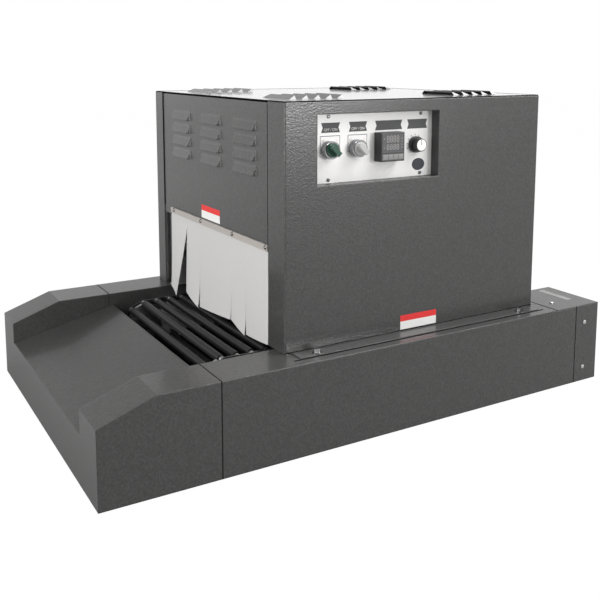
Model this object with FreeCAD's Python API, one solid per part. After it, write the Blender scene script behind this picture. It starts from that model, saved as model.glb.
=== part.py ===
import FreeCAD, Part
import math
import os

# Benchtop heat-shrink tunnel: a chain-carried roller conveyor in a low base, with a heated hood over it.
# Millimetres, +Z up, +X the way the goods travel, -Y the operator's side.
# The origin is the middle of the footprint, on the surface that the feet stand on.

# Base casing
BASE_WIDTH = 610.0
BASE_HEIGHT = 153.5
INFEED_LENGTH = 187.0
LOAD_LENGTH = 132.0
OUTFEED_LENGTH = 129.0
END_CAP_LENGTH = 59.0
CHEEK_WIDTH = 81.5
NOSE_HEIGHT = 122.0
NOSE_SLOPE = 88.0
SKIN = 1.5
SEAM = 0.6
PLAIN_SIDES = 16
FIT = 0.3
CASE_LIFT = 3.0
PAN_LIFT = 6.0
PAN_RIM = 22.0
WALL_FOOT = 30.0
FOOT_RADIUS = 15.0
FOOT_TAPER = 2.0
FOOT_INSET = 48.0

# Ramp and outfeed apron
RAMP_LOW = 84.0
RAMP_SINK = 23.5
RAMP_OVERHANG = 8.0
RAMP_LIP = 12.0
APRON_STEP = 3.0
APRON_FALL = 11.0
APRON_GAP = 4.0

# Drive cover over the outfeed end of the operator's cheek
DRIVE_COVER_LENGTH = 111.0
DRIVE_COVER_WIDTH = 125.0
DRIVE_COVER_CLEAR = 2.5
DRIVE_COVER_GAP = 2.0

# Conveyor
PITCH = 27.5
TOOTH_PAIRS = 4
ROLLER_DIAMETER = 14.0
ROLLER_SIDES = 12
ROLLER_DROP = 10.5
ROLLER_TO_WALL = 38.0
LINK_HEIGHT = 11.0
LINK_CHAMFER = 5.0
LINK_THICK = 2.0
LINK_GAP = 0.3
IDLER_SETBACK = 58.0
DRIVE_SETBACK = 74.0
SPROCKET_THICK = 7.0
SPROCKET_INSET = 4.0
TOOTH_RISE = 1.2
TOOTH_PLAY = 0.5
SEAT_STEPS = 6
SHAFT_DIAMETER = 20.0
SHAFT_TAIL = 3.0
SHAFT_REACH = 40.0
SHAFT_HOLE_PLAY = 5.0
RUNNING_FIT = 0.05
BEARING_FLANGE_LENGTH = 74.0
BEARING_FLANGE_WIDTH = 46.0
BEARING_DEPTH = 16.0
RAIL_THICK = 1.5
RAIL_END_GAP = 8.0
GEARBOX_HALF = 28.0
GEARBOX_CLEAR = 3.0
GEAR_OFFSET = 30.0
MOTOR_RADIUS = 25.0
MOTOR_LENGTH = 118.0

# Hood
HOOD_LENGTH = 538.0
HOOD_HEIGHT = 398.0
HOOD_FRONT_SETBACK = 48.0
HOOD_REAR_SETBACK = 14.0
FRONT_RETURN = 54.0
REAR_RETURN = 39.0
CORNER_RADIUS = 2.5
FRONT_FLANGE = 28.0
REAR_FLANGE = 12.0
LID_FLANGE = 12.0
LID_INSET = 3.0
DOOR_JAMB_GAP = 0.5
DOOR_HEIGHT = 151.5
END_LOUVER_WIDTH = 84.0
END_LOUVER_HEIGHT = 18.0
END_LOUVER_DEPTH = 7.0
END_LOUVER_COLUMN = 136.0
END_LOUVER_ROW = 24.7
END_LOUVER_DROP = 32.0
END_LOUVER_COLUMNS = 3
END_LOUVER_ROWS = 4
LOUVER_SKIN = 1.0
LOUVER_TAPER = 6.0
TOP_LOUVER_WIDTH = 92.0
TOP_LOUVER_HEIGHT = 13.0
TOP_LOUVER_DEPTH = 6.0
TOP_LOUVER_ROW = 23.0
TOP_LOUVER_COUNT = 5
TOP_GROUP_X = 172.0
TOP_GROUP_Y = 165.0
BOLT_SPREAD = 220.0
BOLT_STANDOFF = 18.0
REAR_BOLT_STANDOFF = 6.0
BOLT_FLATS = 10.0
BOLT_HEAD = 5.3
WASHER_RADIUS = 8.0
REAR_WASHER_RADIUS = 5.6
WASHER_THICK = 1.4

# Heated tunnel inside the hood
LINER_SKIN = 1.2
LINER_SIDE = 6.0
LINER_ROOF_GAP = 1.0
LINER_FOOT = 18.0
JAMB_WIDTH = 38.0
JAMB_SETBACK = 12.0
INTAKE_RADIUS = 70.0
SLOT_COUNT = 5
SLOT_LENGTH = 64.0
SLOT_HEIGHT = 9.0
SLOT_RISE = 60.0
PLENUM_RISE = 60.0
INSULATION_SIDE = 18.0
INSULATION_TOP = 25.0
HEATER_HEIGHT = 36.0
HEATER_THICK = 9.0
HEATER_RISE = 34.0
HEATER_SPACING = 56.0
HEATER_END = 48.0
STANDOFF = 10.0
IMPELLER_RADIUS = 88.0
IMPELLER_DEPTH = 34.0
IMPELLER_GAP = 9.0
IMPELLER_SKIN = 2.0
IMPELLER_BLADES = 12
BLADE_INNER = 56.0
BLADE_LEAN = 28.0
HUB_RADIUS = 15.0
SPINDLE_RADIUS = 6.0
SPINDLE_REACH = 34.0
BLOWER_NECK = 30.0
BLOWER_NECK_PLAY = 2.0
BLOWER_FLANGE = 54.0
BLOWER_FLANGE_THICK = 5.0
BLOWER_RADIUS = 46.0
BLOWER_HEIGHT = 76.0
PROBE_RADIUS = 3.0
PROBE_HEAD_RADIUS = 7.0
PROBE_HEAD_HEIGHT = 10.0
PROBE_REACH = 40.0
PROBE_OFFSET = 150.0

# Control panel, sunk into the front of the hood
WINDOW_LENGTH = 244.0
WINDOW_HEIGHT = 112.5
WINDOW_START = 59.0
WINDOW_DROP = 20.0
RECESS_DEPTH = 20.0
FRAME_SKIN = 1.2
PANEL_BORDER = 9.0
PANEL_THICK = 1.5
CONTROL_LINE = 54.5
POWER_X = 33.0
HEATER_X = 86.0
CONTROLLER_X = 147.0
SPEED_X = 208.0
COLLAR_RADIUS = 14.5
COLLAR_DEPTH = 13.0
COLLAR_WALL = 2.7
BARREL_RADIUS = 11.0
BARREL_DEPTH = 12.0
CONTACT_WIDTH = 30.0
CONTACT_HEIGHT = 40.0
CONTACT_DEPTH = 36.0
KNOB_PLAY = 0.3
KNOB_PROUD = 2.0
LEVER_WIDTH = 8.0
LEVER_DEPTH = 11.0
LEVER_TAIL = 10.0
LEVER_NOSE = 8.0
LEVER_ROOT = 1.0
LEVER_ANGLE = 45.0
BEZEL_SIZE = 48.0
BEZEL_DEPTH = 20.0
BEZEL_EDGE = 2.0
METER_BODY = 44.6
METER_DEPTH = 70.0
CUTOUT_PLAY = 0.3
LENS_WIDTH = 43.0
LENS_HEIGHT = 30.0
LENS_THICK = 1.2
LENS_RISE = 6.5
KEY_COUNT = 4
KEY_WIDTH = 9.2
KEY_HEIGHT = 7.2
KEY_PITCH = 10.6
KEY_DROP = 16.5
KEY_PROUD = 0.9
KEY_DEPTH = 3.0
KEY_WELL = 4.5
KEY_PLAY = 0.3
SPEED_SKIRT_RADIUS = 14.0
SPEED_CAP_RADIUS = 11.0
SPEED_SKIRT_DEPTH = 5.0
SPEED_FLUTES = 24
SPEED_KNOB_DEPTH = 18.0
SPEED_KNOB_GAP = 0.6
SPEED_SHAFT_RADIUS = 3.0
POT_RADIUS = 12.0
POT_DEPTH = 16.0
BUSH_RADIUS = 4.7
COLLAR_SIDES = 32

# Relay, motor speed board and mains inlet in the upper compartment
RELAY_INSET = 64.0
RELAY_RISE = 300.0
RELAY_WIDTH = 60.0
RELAY_HEIGHT = 80.0
SINK_BASE = 5.0
SINK_FIN = 24.0
SINK_FIN_THICK = 3.0
SINK_FINS = 6
RELAY_BODY = 26.0
BOARD_LENGTH = 110.0
BOARD_HEIGHT = 70.0
BOARD_THICK = 1.6
BOARD_RISE = 300.0
BOARD_START = 150.0
PILLAR = 8.0
PILLAR_INSET = 8.0
COIL_SIZE = 30.0
INLET_X = 400.0
INLET_RISE = 290.0
INLET_FLANGE_LENGTH = 50.0
INLET_FLANGE_HEIGHT = 27.0
INLET_FLANGE_THICK = 3.0
INLET_BODY_LENGTH = 31.0
INLET_BODY_HEIGHT = 23.0
INLET_BODY_DEPTH = 28.0
INLET_WALL = 2.5
INLET_POCKET = 17.0
INLET_PIN_WIDTH = 6.0
INLET_PIN_THICK = 2.0
INLET_PIN_PITCH = 7.0

# Strip curtains at both ends of the tunnel
BAR_HEIGHT = 11.0
BAR_THICK = 2.0
BAR_RISE = 4.5
CLOTH = 1.2
STRIP_SHARES = [0.195, 0.14, 0.33, 0.14, 0.195]
STRIP_SLIT = 1.4
STRIP_END_GAP = 1.0
STRIP_HINGE_DROP = 9.0
STRIP_HINGE_GAP = 0.8
STRIP_KNEE = 0.45
STRIP_KNEE_SHARE = 0.4

# Places that follow from the sizes above
BASE_LENGTH = INFEED_LENGTH + LOAD_LENGTH + HOOD_LENGTH + OUTFEED_LENGTH
X_IN = -BASE_LENGTH / 2
X_OUT = BASE_LENGTH / 2
X_SEAM_IN = X_IN + INFEED_LENGTH
X_SEAM_OUT = X_OUT - END_CAP_LENGTH
X_HOOD_IN = X_SEAM_IN + LOAD_LENGTH
X_HOOD_OUT = X_HOOD_IN + HOOD_LENGTH
X_HOOD_MID = (X_HOOD_IN + X_HOOD_OUT) / 2
X_DRIVE_COVER = X_OUT - DRIVE_COVER_LENGTH
HALF_WIDTH = BASE_WIDTH / 2
CHANNEL = HALF_WIDTH - CHEEK_WIDTH
Y_HOOD_FRONT = -HALF_WIDTH + HOOD_FRONT_SETBACK
Y_HOOD_REAR = HALF_WIDTH - HOOD_REAR_SETBACK
Y_HOOD_MID = (Y_HOOD_FRONT + Y_HOOD_REAR) / 2
Y_DOOR_FRONT = Y_HOOD_FRONT + FRONT_RETURN + DOOR_JAMB_GAP
Y_DOOR_REAR = Y_HOOD_REAR - REAR_RETURN - DOOR_JAMB_GAP
Y_MOUTH_REAR = Y_DOOR_REAR - JAMB_WIDTH
Y_MOUTH_MID = (Y_DOOR_FRONT + Y_MOUTH_REAR) / 2
Z_HOOD = BASE_HEIGHT + HOOD_HEIGHT
Z_DOOR = BASE_HEIGHT + DOOR_HEIGHT
Z_LINER = Z_DOOR + LINER_ROOF_GAP
Z_PLENUM = Z_LINER + LINER_SKIN + PLENUM_RISE
Z_LAGGING = Z_PLENUM + LINER_SKIN + INSULATION_TOP
X_TUNNEL_IN = X_HOOD_IN + 2 * SKIN
X_TUNNEL_OUT = X_HOOD_OUT - 2 * SKIN
TEETH = 2 * TOOTH_PAIRS
PITCH_RADIUS = PITCH / (2 * math.sin(math.pi / TEETH))
ROLLER_RADIUS = ROLLER_DIAMETER / 2
ROLLER_TOP = BASE_HEIGHT - ROLLER_DROP
Z_TOP_RUN = ROLLER_TOP - ROLLER_RADIUS
Z_SHAFT = Z_TOP_RUN - PITCH_RADIUS
X_IDLER = X_SEAM_IN + IDLER_SETBACK
RUN_PITCHES = int((X_OUT - DRIVE_SETBACK - X_IDLER) / PITCH)
X_DRIVE = X_IDLER + RUN_PITCHES * PITCH
LOOP_RADIUS = PITCH_RADIUS + ROLLER_RADIUS
RAMP_HIGH = BASE_HEIGHT - RAMP_SINK
APRON_HIGH = ROLLER_TOP - APRON_STEP
APRON_LOW = APRON_HIGH - APRON_FALL
ROLLER_END = CHANNEL - ROLLER_TO_WALL
SHAFT_RADIUS = SHAFT_DIAMETER / 2
X_WINDOW_IN = X_HOOD_IN + WINDOW_START
X_WINDOW_OUT = X_WINDOW_IN + WINDOW_LENGTH
Z_WINDOW_TOP = Z_HOOD - WINDOW_DROP
Z_WINDOW_FOOT = Z_WINDOW_TOP - WINDOW_HEIGHT
Y_PANEL = Y_HOOD_FRONT + RECESS_DEPTH
Z_CONTROLS = Z_WINDOW_FOOT + CONTROL_LINE
Z_STRIP_HINGE = Z_DOOR - STRIP_HINGE_DROP

ALONG_X = FreeCAD.Vector(1, 0, 0)
ALONG_Y = FreeCAD.Vector(0, 1, 0)
ALONG_Z = FreeCAD.Vector(0, 0, 1)
BEYOND = 20.0


def block(x0, x1, y0, y1, z0, z1):
    """A box between two corners."""
    return Part.makeBox(x1 - x0, y1 - y0, z1 - z0, FreeCAD.Vector(x0, y0, z0))


def face_of(points):
    """A flat face bounded by straight edges through the points."""
    return Part.Face(Part.makePolygon(points + points[:1]))


def prism_x(outline, x0, x1):
    """A (y, z) outline carried along X."""
    return face_of([FreeCAD.Vector(x0, y, z) for y, z in outline]).extrude(ALONG_X * (x1 - x0))


def prism_y(outline, y0, y1):
    """An (x, z) outline carried along Y."""
    return face_of([FreeCAD.Vector(x, y0, z) for x, z in outline]).extrude(ALONG_Y * (y1 - y0))


def prism_z(outline, z0, z1):
    """An (x, y) outline carried along Z."""
    return face_of([FreeCAD.Vector(x, y, z0) for x, y in outline]).extrude(ALONG_Z * (z1 - z0))


def rod_y(y0, y1, x, z, radius):
    """A round bar along Y."""
    return Part.makeCylinder(radius, y1 - y0, FreeCAD.Vector(x, y0, z), ALONG_Y)


def rod_z(z0, z1, x, y, radius):
    """A round bar along Z."""
    return Part.makeCylinder(radius, z1 - z0, FreeCAD.Vector(x, y, z0), ALONG_Z)


def ngon(u, v, radius, sides):
    """Corners of a regular polygon round (u, v), for round parts that need few facets."""
    turns = [2 * math.pi * (i + 0.5) / sides for i in range(sides)]
    return [(u + radius * math.cos(a), v + radius * math.sin(a)) for a in turns]


def drum_y(y0, y1, x, z, radius, sides=PLAIN_SIDES):
    """A many-sided bar along Y."""
    return prism_y(ngon(x, z, radius, sides), y0, y1)


def drum_z(z0, z1, x, y, radius, sides=PLAIN_SIDES):
    """A many-sided bar along Z."""
    return prism_z(ngon(x, y, radius, sides), z0, z1)


def frustum(start, end, start_radius, end_radius, sides):
    """A many-sided cone between two centres."""
    turn = FreeCAD.Rotation(ALONG_Z, end - start)
    wires = []
    for centre, radius in ((start, start_radius), (end, end_radius)):
        corners = [centre + turn.multVec(FreeCAD.Vector(u, v, 0)) for u, v in ngon(0, 0, radius, sides)]
        wires.append(Part.makePolygon(corners + corners[:1]))
    return Part.makeLoft(wires, True, True)


def join(pieces):
    """Pieces of one sheet or casting as a single clean solid."""
    first, rest = pieces[0], pieces[1:]
    return first.fuse(rest).removeSplitter() if rest else first


def solids_in(shapes):
    """Every solid of the shapes, as one flat list."""
    return [solid for shape in shapes for solid in shape.Solids]


def write(name, *shapes):
    """One STEP file for a node, holding one solid or a group of separate solids."""
    solids = solids_in(shapes)
    node = solids[0] if len(solids) == 1 else Part.makeCompound(solids)
    node.exportStep("parts/" + name + ".step")


# Base casing

def base_pan():
    """Folded tray that carries the feet, rails and covers."""
    x = X_OUT - SKIN - FIT
    y = HALF_WIDTH - SKIN - FIT
    z = PAN_LIFT
    tray = block(-x, x, -y, y, z, z + PAN_RIM)
    return tray.cut(block(SKIN - x, x - SKIN, SKIN - y, y - SKIN, z + SKIN, z + PAN_RIM + BEYOND))


def rubber_feet():
    """Four tapered feet under the corners of the pan."""
    x = X_OUT - FOOT_INSET
    y = HALF_WIDTH - FOOT_INSET
    corners = [(-x, -y), (x, -y), (x, y), (-x, y)]
    low = FOOT_RADIUS - FOOT_TAPER
    return [
        frustum(FreeCAD.Vector(cx, cy, 0), FreeCAD.Vector(cx, cy, PAN_LIFT), low, FOOT_RADIUS, PLAIN_SIDES)
        for cx, cy in corners
    ]


def nose_outline(x_seam, inset):
    """Side view of the infeed casing, stepped inwards from its outer faces by the inset."""
    slope = math.atan2(BASE_HEIGHT - NOSE_HEIGHT, NOSE_SLOPE)
    nose = NOSE_HEIGHT + inset * math.tan(slope) - inset / math.cos(slope)
    bend = X_IN + NOSE_SLOPE + inset * math.tan(slope / 2)
    foot = CASE_LIFT if inset == 0 else CASE_LIFT - BEYOND
    return [
        (X_IN + inset, foot),
        (X_IN + inset, nose),
        (bend, BASE_HEIGHT - inset),
        (x_seam, BASE_HEIGHT - inset),
        (x_seam, foot),
    ]


def ramp_drop():
    """Height that the ramp's sheet takes up, measured straight down."""
    run = X_SEAM_IN + RAMP_OVERHANG - X_IN
    return SKIN * math.hypot(run, RAMP_HIGH - RAMP_LOW) / run


def infeed_casing():
    """Nose of the base: an end plate and two hollow cheeks with sloping tops."""
    seam = X_SEAM_IN - SEAM / 2
    hollow = prism_y(nose_outline(seam + BEYOND, SKIN), SKIN - HALF_WIDTH, HALF_WIDTH - SKIN)
    shell = prism_y(nose_outline(seam, 0), -HALF_WIDTH, HALF_WIDTH).cut(hollow)
    seat = RAMP_LOW - ramp_drop()
    shell = shell.cut(block(X_IN - 1, X_SEAM_IN, -CHANNEL, CHANNEL, seat, BASE_HEIGHT + 1))
    wall = prism_y(nose_outline(seam, 0), CHANNEL, CHANNEL + SKIN)
    wall = wall.cut(block(X_IN + SKIN, X_SEAM_IN, CHANNEL, CHANNEL + SKIN, 0, WALL_FOOT))
    other = wall.mirror(FreeCAD.Vector(), ALONG_Y)
    return join([shell, wall, other])


def infeed_ramp():
    """Sloping slide plate between the cheeks, folded down where it meets the rollers."""
    x_top = X_SEAM_IN + RAMP_OVERHANG
    drop = ramp_drop()
    slope = (RAMP_HIGH - RAMP_LOW) / (x_top - X_IN)
    outline = [
        (X_IN, RAMP_LOW),
        (x_top, RAMP_HIGH),
        (x_top, RAMP_HIGH - RAMP_LIP),
        (x_top - SKIN, RAMP_HIGH - RAMP_LIP),
        (x_top - SKIN, RAMP_HIGH - drop - slope * SKIN),
        (X_IN, RAMP_LOW - drop),
    ]
    return prism_y(outline, FIT - CHANNEL, CHANNEL - FIT)


def cheek_section(side):
    """Folded channel of a side cover: outer wall, top ledge and inner wall."""
    top, low = BASE_HEIGHT, WALL_FOOT
    outline = [
        (HALF_WIDTH, CASE_LIFT),
        (HALF_WIDTH, top),
        (CHANNEL, top),
        (CHANNEL, low),
        (CHANNEL + SKIN, low),
        (CHANNEL + SKIN, top - SKIN),
        (HALF_WIDTH - SKIN, top - SKIN),
        (HALF_WIDTH - SKIN, CASE_LIFT),
    ]
    return [(side * y, z) for y, z in outline]


def side_cover(side):
    """Long cover of one side, with clearance holes for the two conveyor shafts."""
    cover = prism_x(cheek_section(side), X_SEAM_IN + SEAM / 2, X_SEAM_OUT - SEAM / 2)
    y = side * CHANNEL
    hole = SHAFT_RADIUS + SHAFT_HOLE_PLAY
    holes = [drum_y(y - BEYOND, y + BEYOND, x, Z_SHAFT, hole) for x in (X_IDLER, X_DRIVE)]
    return cover.cut(holes)


def front_side_cover():
    """Operator's side cover, cut away on top where the drive cover lies."""
    x0 = X_DRIVE_COVER - DRIVE_COVER_GAP / 2
    opened = block(x0, X_OUT, -HALF_WIDTH - 1, -CHANNEL + 1, BASE_HEIGHT - SKIN, BASE_HEIGHT + 1)
    return side_cover(-1).cut(opened)


def outfeed_end_cap():
    """End cap with returns round both sides and a low apron folded in for the goods to leave over."""
    seam = X_SEAM_OUT + SEAM / 2
    y = HALF_WIDTH - SKIN
    shell = block(seam, X_OUT, -HALF_WIDTH, HALF_WIDTH, CASE_LIFT, BASE_HEIGHT)
    shell = shell.cut(block(seam - 1, X_OUT - SKIN, -y, y, 0, BASE_HEIGHT - SKIN))
    y_cover = DRIVE_COVER_WIDTH - HALF_WIDTH
    under_cover = block(seam - 1, X_OUT + 1, -HALF_WIDTH - 1, CHANNEL, BASE_HEIGHT - SKIN, BASE_HEIGHT + 1)
    gap = block(seam - 1, X_OUT + 1, y_cover, CHANNEL, APRON_LOW, BASE_HEIGHT)
    shell = shell.cut([under_cover, gap])
    x_lip = X_DRIVE + LOOP_RADIUS + APRON_GAP
    apron = [
        (X_OUT, APRON_LOW),
        (x_lip, APRON_HIGH),
        (x_lip, APRON_HIGH - SKIN),
        (X_OUT - SKIN, APRON_LOW - SKIN),
        (X_OUT, APRON_LOW - SKIN),
    ]
    lip = prism_y(apron, FIT - CHANNEL, CHANNEL - FIT)
    roof = BASE_HEIGHT - SKIN
    front = block(seam, X_OUT - SKIN, -CHANNEL - SKIN, -CHANNEL, WALL_FOOT, roof)
    rear = block(seam, X_OUT - SKIN, CHANNEL, CHANNEL + SKIN, WALL_FOOT, roof)
    return join([shell, lip, front, rear])


def drive_cover():
    """Screwed plate over the gear motor and the near end of the drive shaft, with one edge folded down."""
    x0 = X_DRIVE_COVER + DRIVE_COVER_GAP / 2
    y1 = DRIVE_COVER_WIDTH - HALF_WIDTH
    plate = block(x0, X_OUT, -HALF_WIDTH, y1, BASE_HEIGHT - SKIN, BASE_HEIGHT)
    lip = block(x0, X_OUT - SKIN, y1 - SKIN, y1, ROLLER_TOP + DRIVE_COVER_CLEAR, BASE_HEIGHT)
    return join([plate, lip])


# Conveyor

def pin_places():
    """Centres (x, z) of the chain pins, one pitch apart round both sprockets."""
    step = 2 * math.pi / TEETH
    z_low = Z_SHAFT - PITCH_RADIUS
    top = [(X_IDLER + i * PITCH, Z_TOP_RUN) for i in range(RUN_PITCHES)]
    low = [(X_DRIVE - i * PITCH, z_low) for i in range(RUN_PITCHES)]
    wraps = []
    for x, start in ((X_DRIVE, math.pi / 2), (X_IDLER, -math.pi / 2)):
        turns = [start - i * step for i in range(TOOTH_PAIRS)]
        wraps.append([(x + PITCH_RADIUS * math.cos(a), Z_SHAFT + PITCH_RADIUS * math.sin(a)) for a in turns])
    return top + wraps[0] + low + wraps[1]


def conveyor_rollers(pins):
    """One sleeved roller for each pitch of the chains."""
    return [drum_y(-ROLLER_END, ROLLER_END, x, z, ROLLER_RADIUS, ROLLER_SIDES) for x, z in pins]


def link_plate(start, end, y0, y1):
    """Flat link from pin to pin, with pointed ends."""
    reach, half, clip = LINK_HEIGHT / 2, LINK_HEIGHT / 2, LINK_CHAMFER
    outline = [
        (-reach, 0),
        (-reach + clip, -half),
        (PITCH + reach - clip, -half),
        (PITCH + reach, 0),
        (PITCH + reach - clip, half),
        (-reach + clip, half),
    ]
    angle = math.atan2(end[1] - start[1], end[0] - start[0])
    c, s = math.cos(angle), math.sin(angle)
    placed = [(start[0] + u * c - v * s, start[1] + u * s + v * c) for u, v in outline]
    return prism_y(placed, y0, y1)


def chain_links(pins):
    """Both chains, whose links lie in two layers by turns so that each overlaps the next at a pin."""
    links = []
    for i, start in enumerate(pins):
        end = pins[(i + 1) % len(pins)]
        near = ROLLER_END + LINK_GAP + (i % 2) * (LINK_THICK + LINK_GAP)
        far = near + LINK_THICK
        links.append(link_plate(start, end, near, far))
        links.append(link_plate(start, end, -far, -near))
    return links


def sprocket(x, side):
    """Toothed wheel whose gaps seat the ends of the rollers."""
    y1 = ROLLER_END - SPROCKET_INSET
    y0 = y1 - SPROCKET_THICK
    low, high = (y0, y1) if side > 0 else (-y1, -y0)
    seat, tip = ROLLER_RADIUS + TOOTH_PLAY, PITCH_RADIUS + TOOTH_RISE
    reach = (PITCH_RADIUS ** 2 + seat ** 2 - tip ** 2) / (2 * PITCH_RADIUS * seat)
    mouth = math.acos(reach)
    outline = []
    for i in range(TEETH):
        middle = math.pi / 2 + 2 * math.pi * i / TEETH
        cx = x + PITCH_RADIUS * math.cos(middle)
        cz = Z_SHAFT + PITCH_RADIUS * math.sin(middle)
        for step in range(SEAT_STEPS + 1):
            angle = middle + math.pi + mouth * (1 - 2 * step / SEAT_STEPS)
            outline.append((cx + seat * math.cos(angle), cz + seat * math.sin(angle)))
    wheel = prism_y(outline, low, high)
    return wheel.cut(drum_y(low - 1, high + 1, x, Z_SHAFT, SHAFT_RADIUS + TOOTH_PLAY))


def shaft(x, front_reach):
    """Conveyor shaft, ending just past the rear bearing and reaching further at the front."""
    rear = CHANNEL + SKIN + BEARING_DEPTH + SHAFT_TAIL
    return rod_y(-(CHANNEL + SKIN + BEARING_DEPTH + front_reach), rear, x, Z_SHAFT, SHAFT_RADIUS)


def flange_bearing(x, side):
    """Two-bolt flange bearing on the outer face of a cheek's inner wall."""
    face = CHANNEL + SKIN
    half, wide = BEARING_FLANGE_LENGTH / 2, BEARING_FLANGE_WIDTH / 2
    ear = wide / 3
    outline = [(-half, -ear), (0, -wide), (half, -ear), (half, ear), (0, wide), (-half, ear)]
    outline = [(x + u, Z_SHAFT + v) for u, v in outline]
    housing = prism_y(outline, face, face + BEARING_DEPTH)
    bore = rod_y(face - 1, face + BEARING_DEPTH + 1, x, Z_SHAFT, SHAFT_RADIUS + RUNNING_FIT)
    bearing = housing.cut(bore)
    return bearing if side > 0 else bearing.mirror(FreeCAD.Vector(), ALONG_Y)


def chain_rail(side):
    """Folded rail on a cheek's inner wall: one ledge under each run of the chain."""
    x0 = X_IDLER + LOOP_RADIUS + RAIL_END_GAP
    x1 = X_DRIVE - LOOP_RADIUS - RAIL_END_GAP
    top = Z_TOP_RUN - LINK_HEIGHT / 2 - LINK_GAP
    low = Z_SHAFT - PITCH_RADIUS - LINK_HEIGHT / 2 - LINK_GAP
    web, edge = CHANNEL - RAIL_THICK, ROLLER_END
    outline = [
        (CHANNEL, low - RAIL_THICK),
        (CHANNEL, top),
        (edge, top),
        (edge, top - RAIL_THICK),
        (web, top - RAIL_THICK),
        (web, low),
        (edge, low),
        (edge, low - RAIL_THICK),
    ]
    return prism_x([(side * y, z) for y, z in outline], x0, x1)


def gear_motor():
    """Right-angle gear motor hung on the near end of the drive shaft."""
    y1 = -(CHANNEL + SKIN + BEARING_DEPTH + FIT)
    y0 = -(HALF_WIDTH - SKIN - GEARBOX_CLEAR)
    y_mid = (y0 + y1) / 2
    z_motor = Z_SHAFT - GEAR_OFFSET
    case = block(X_DRIVE - GEARBOX_HALF, X_DRIVE + GEARBOX_HALF, y0, y1,
                 z_motor - MOTOR_RADIUS, Z_SHAFT + GEARBOX_HALF)
    corners = [e for e in case.Edges if e.tangentAt(0).isParallel(ALONG_Y, 0.01)]
    case = case.makeChamfer(GEARBOX_CLEAR, corners)
    x_tail = X_DRIVE - GEARBOX_HALF - MOTOR_LENGTH
    motor = prism_x(ngon(y_mid, z_motor, MOTOR_RADIUS, PLAIN_SIDES), x_tail, X_DRIVE)
    reach = CHANNEL + SKIN + BEARING_DEPTH + SHAFT_REACH + FIT
    bore = rod_y(-reach, y1 + 1, X_DRIVE, Z_SHAFT, SHAFT_RADIUS + RUNNING_FIT)
    return join([case, motor]).cut(bore)


# Hood

def louver(width, height, depth, origin, across, closed, out):
    """A pressed scoop and the slot under it: across is along its length, closed points from its open
    mouth to its closed back, and out is the outward normal of the sheet at the origin, mid-mouth."""
    def scoop(half, taper, foot, rise, proud):
        base = [(-half, foot, 0), (half, foot, 0), (half, rise, 0), (-half, rise, 0)]
        edge = [(-half + taper, foot, proud), (half - taper, foot, proud)]
        p = [origin + across * u + closed * v + out * w for u, v, w in base + edge]
        loops = [[0, 3, 2, 1], [0, 1, 5, 4], [4, 5, 2, 3], [1, 2, 5], [0, 4, 3]]
        return Part.Solid(Part.Shell([face_of([p[i] for i in loop]) for loop in loops]))

    skin = LOUVER_SKIN
    shell = scoop(width / 2, LOUVER_TAPER, 0.0, height, depth)
    hollow = scoop(width / 2 - skin, LOUVER_TAPER, -skin, height - 2 * skin, depth - skin)
    ends = [-width / 2 + LOUVER_TAPER, width / 2 - LOUVER_TAPER]
    rise = height / 2
    corners = [(ends[0], 0), (ends[1], 0), (ends[1], rise), (ends[0], rise)]
    slot = face_of([origin + across * u + closed * v - out * (2 * SKIN) for u, v in corners])
    return shell.cut(hollow), slot.extrude(out * (2 * SKIN))


def louvered(sheet, louvers):
    """A sheet with its louvers pressed out of it."""
    scoops = [scoop for scoop, slot in louvers]
    return join([sheet.cut([slot for scoop, slot in louvers])] + scoops)


def hood_cover(front):
    """Front or rear wall of the hood, wrapped round both ends, with a foot flange and a ledge for the lid."""
    side = -1 if front else 1
    wall = Y_HOOD_FRONT if front else Y_HOOD_REAR
    back = FRONT_RETURN if front else REAR_RETURN
    foot = FRONT_FLANGE if front else REAR_FLANGE

    def sheet(x0, x1, deep0, deep1, z0, z1):
        y0, y1 = sorted((wall - side * deep0, wall - side * deep1))
        return block(x0, x1, y0, y1, z0, z1)

    x0, x1, low, top = X_HOOD_IN, X_HOOD_OUT, BASE_HEIGHT, Z_HOOD
    corner = sheet(x0, x1, 0, back, low, top)
    corner = corner.cut(sheet(x0 + SKIN, x1 - SKIN, SKIN, back + 1, low - 1, top - SKIN))
    corner = corner.cut(sheet(x0 + LID_FLANGE, x1 - LID_FLANGE, LID_FLANGE, back + 1, low - 1, top + 1))
    uprights = [
        e for e in corner.Edges
        if abs(e.Length - HOOD_HEIGHT) < 0.01 and abs(e.CenterOfMass.y - wall) < 0.01
    ]
    corner = corner.makeFillet(CORNER_RADIUS, uprights)
    flange = sheet(x0 + LID_FLANGE, x1 - LID_FLANGE, -foot, SKIN / 2, low, low + SKIN)
    return join([corner, flange])


def hood_front_cover():
    """Front cover with the window that the control panel sits behind."""
    y = Y_HOOD_FRONT
    window = block(X_WINDOW_IN, X_WINDOW_OUT, y - 1, y + SKIN + 1, Z_WINDOW_FOOT, Z_WINDOW_TOP)
    return hood_cover(True).cut(window)


def hood_rear_cover():
    """Rear cover with the cut-out of the mains inlet."""
    x, z = X_HOOD_IN + INLET_X, BASE_HEIGHT + INLET_RISE
    half, high = INLET_BODY_LENGTH / 2 + FIT, INLET_BODY_HEIGHT / 2 + FIT
    hole = block(x - half, x + half, Y_HOOD_REAR - BEYOND, Y_HOOD_REAR + 1, z - high, z + high)
    return hood_cover(False).cut(hole)


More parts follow.
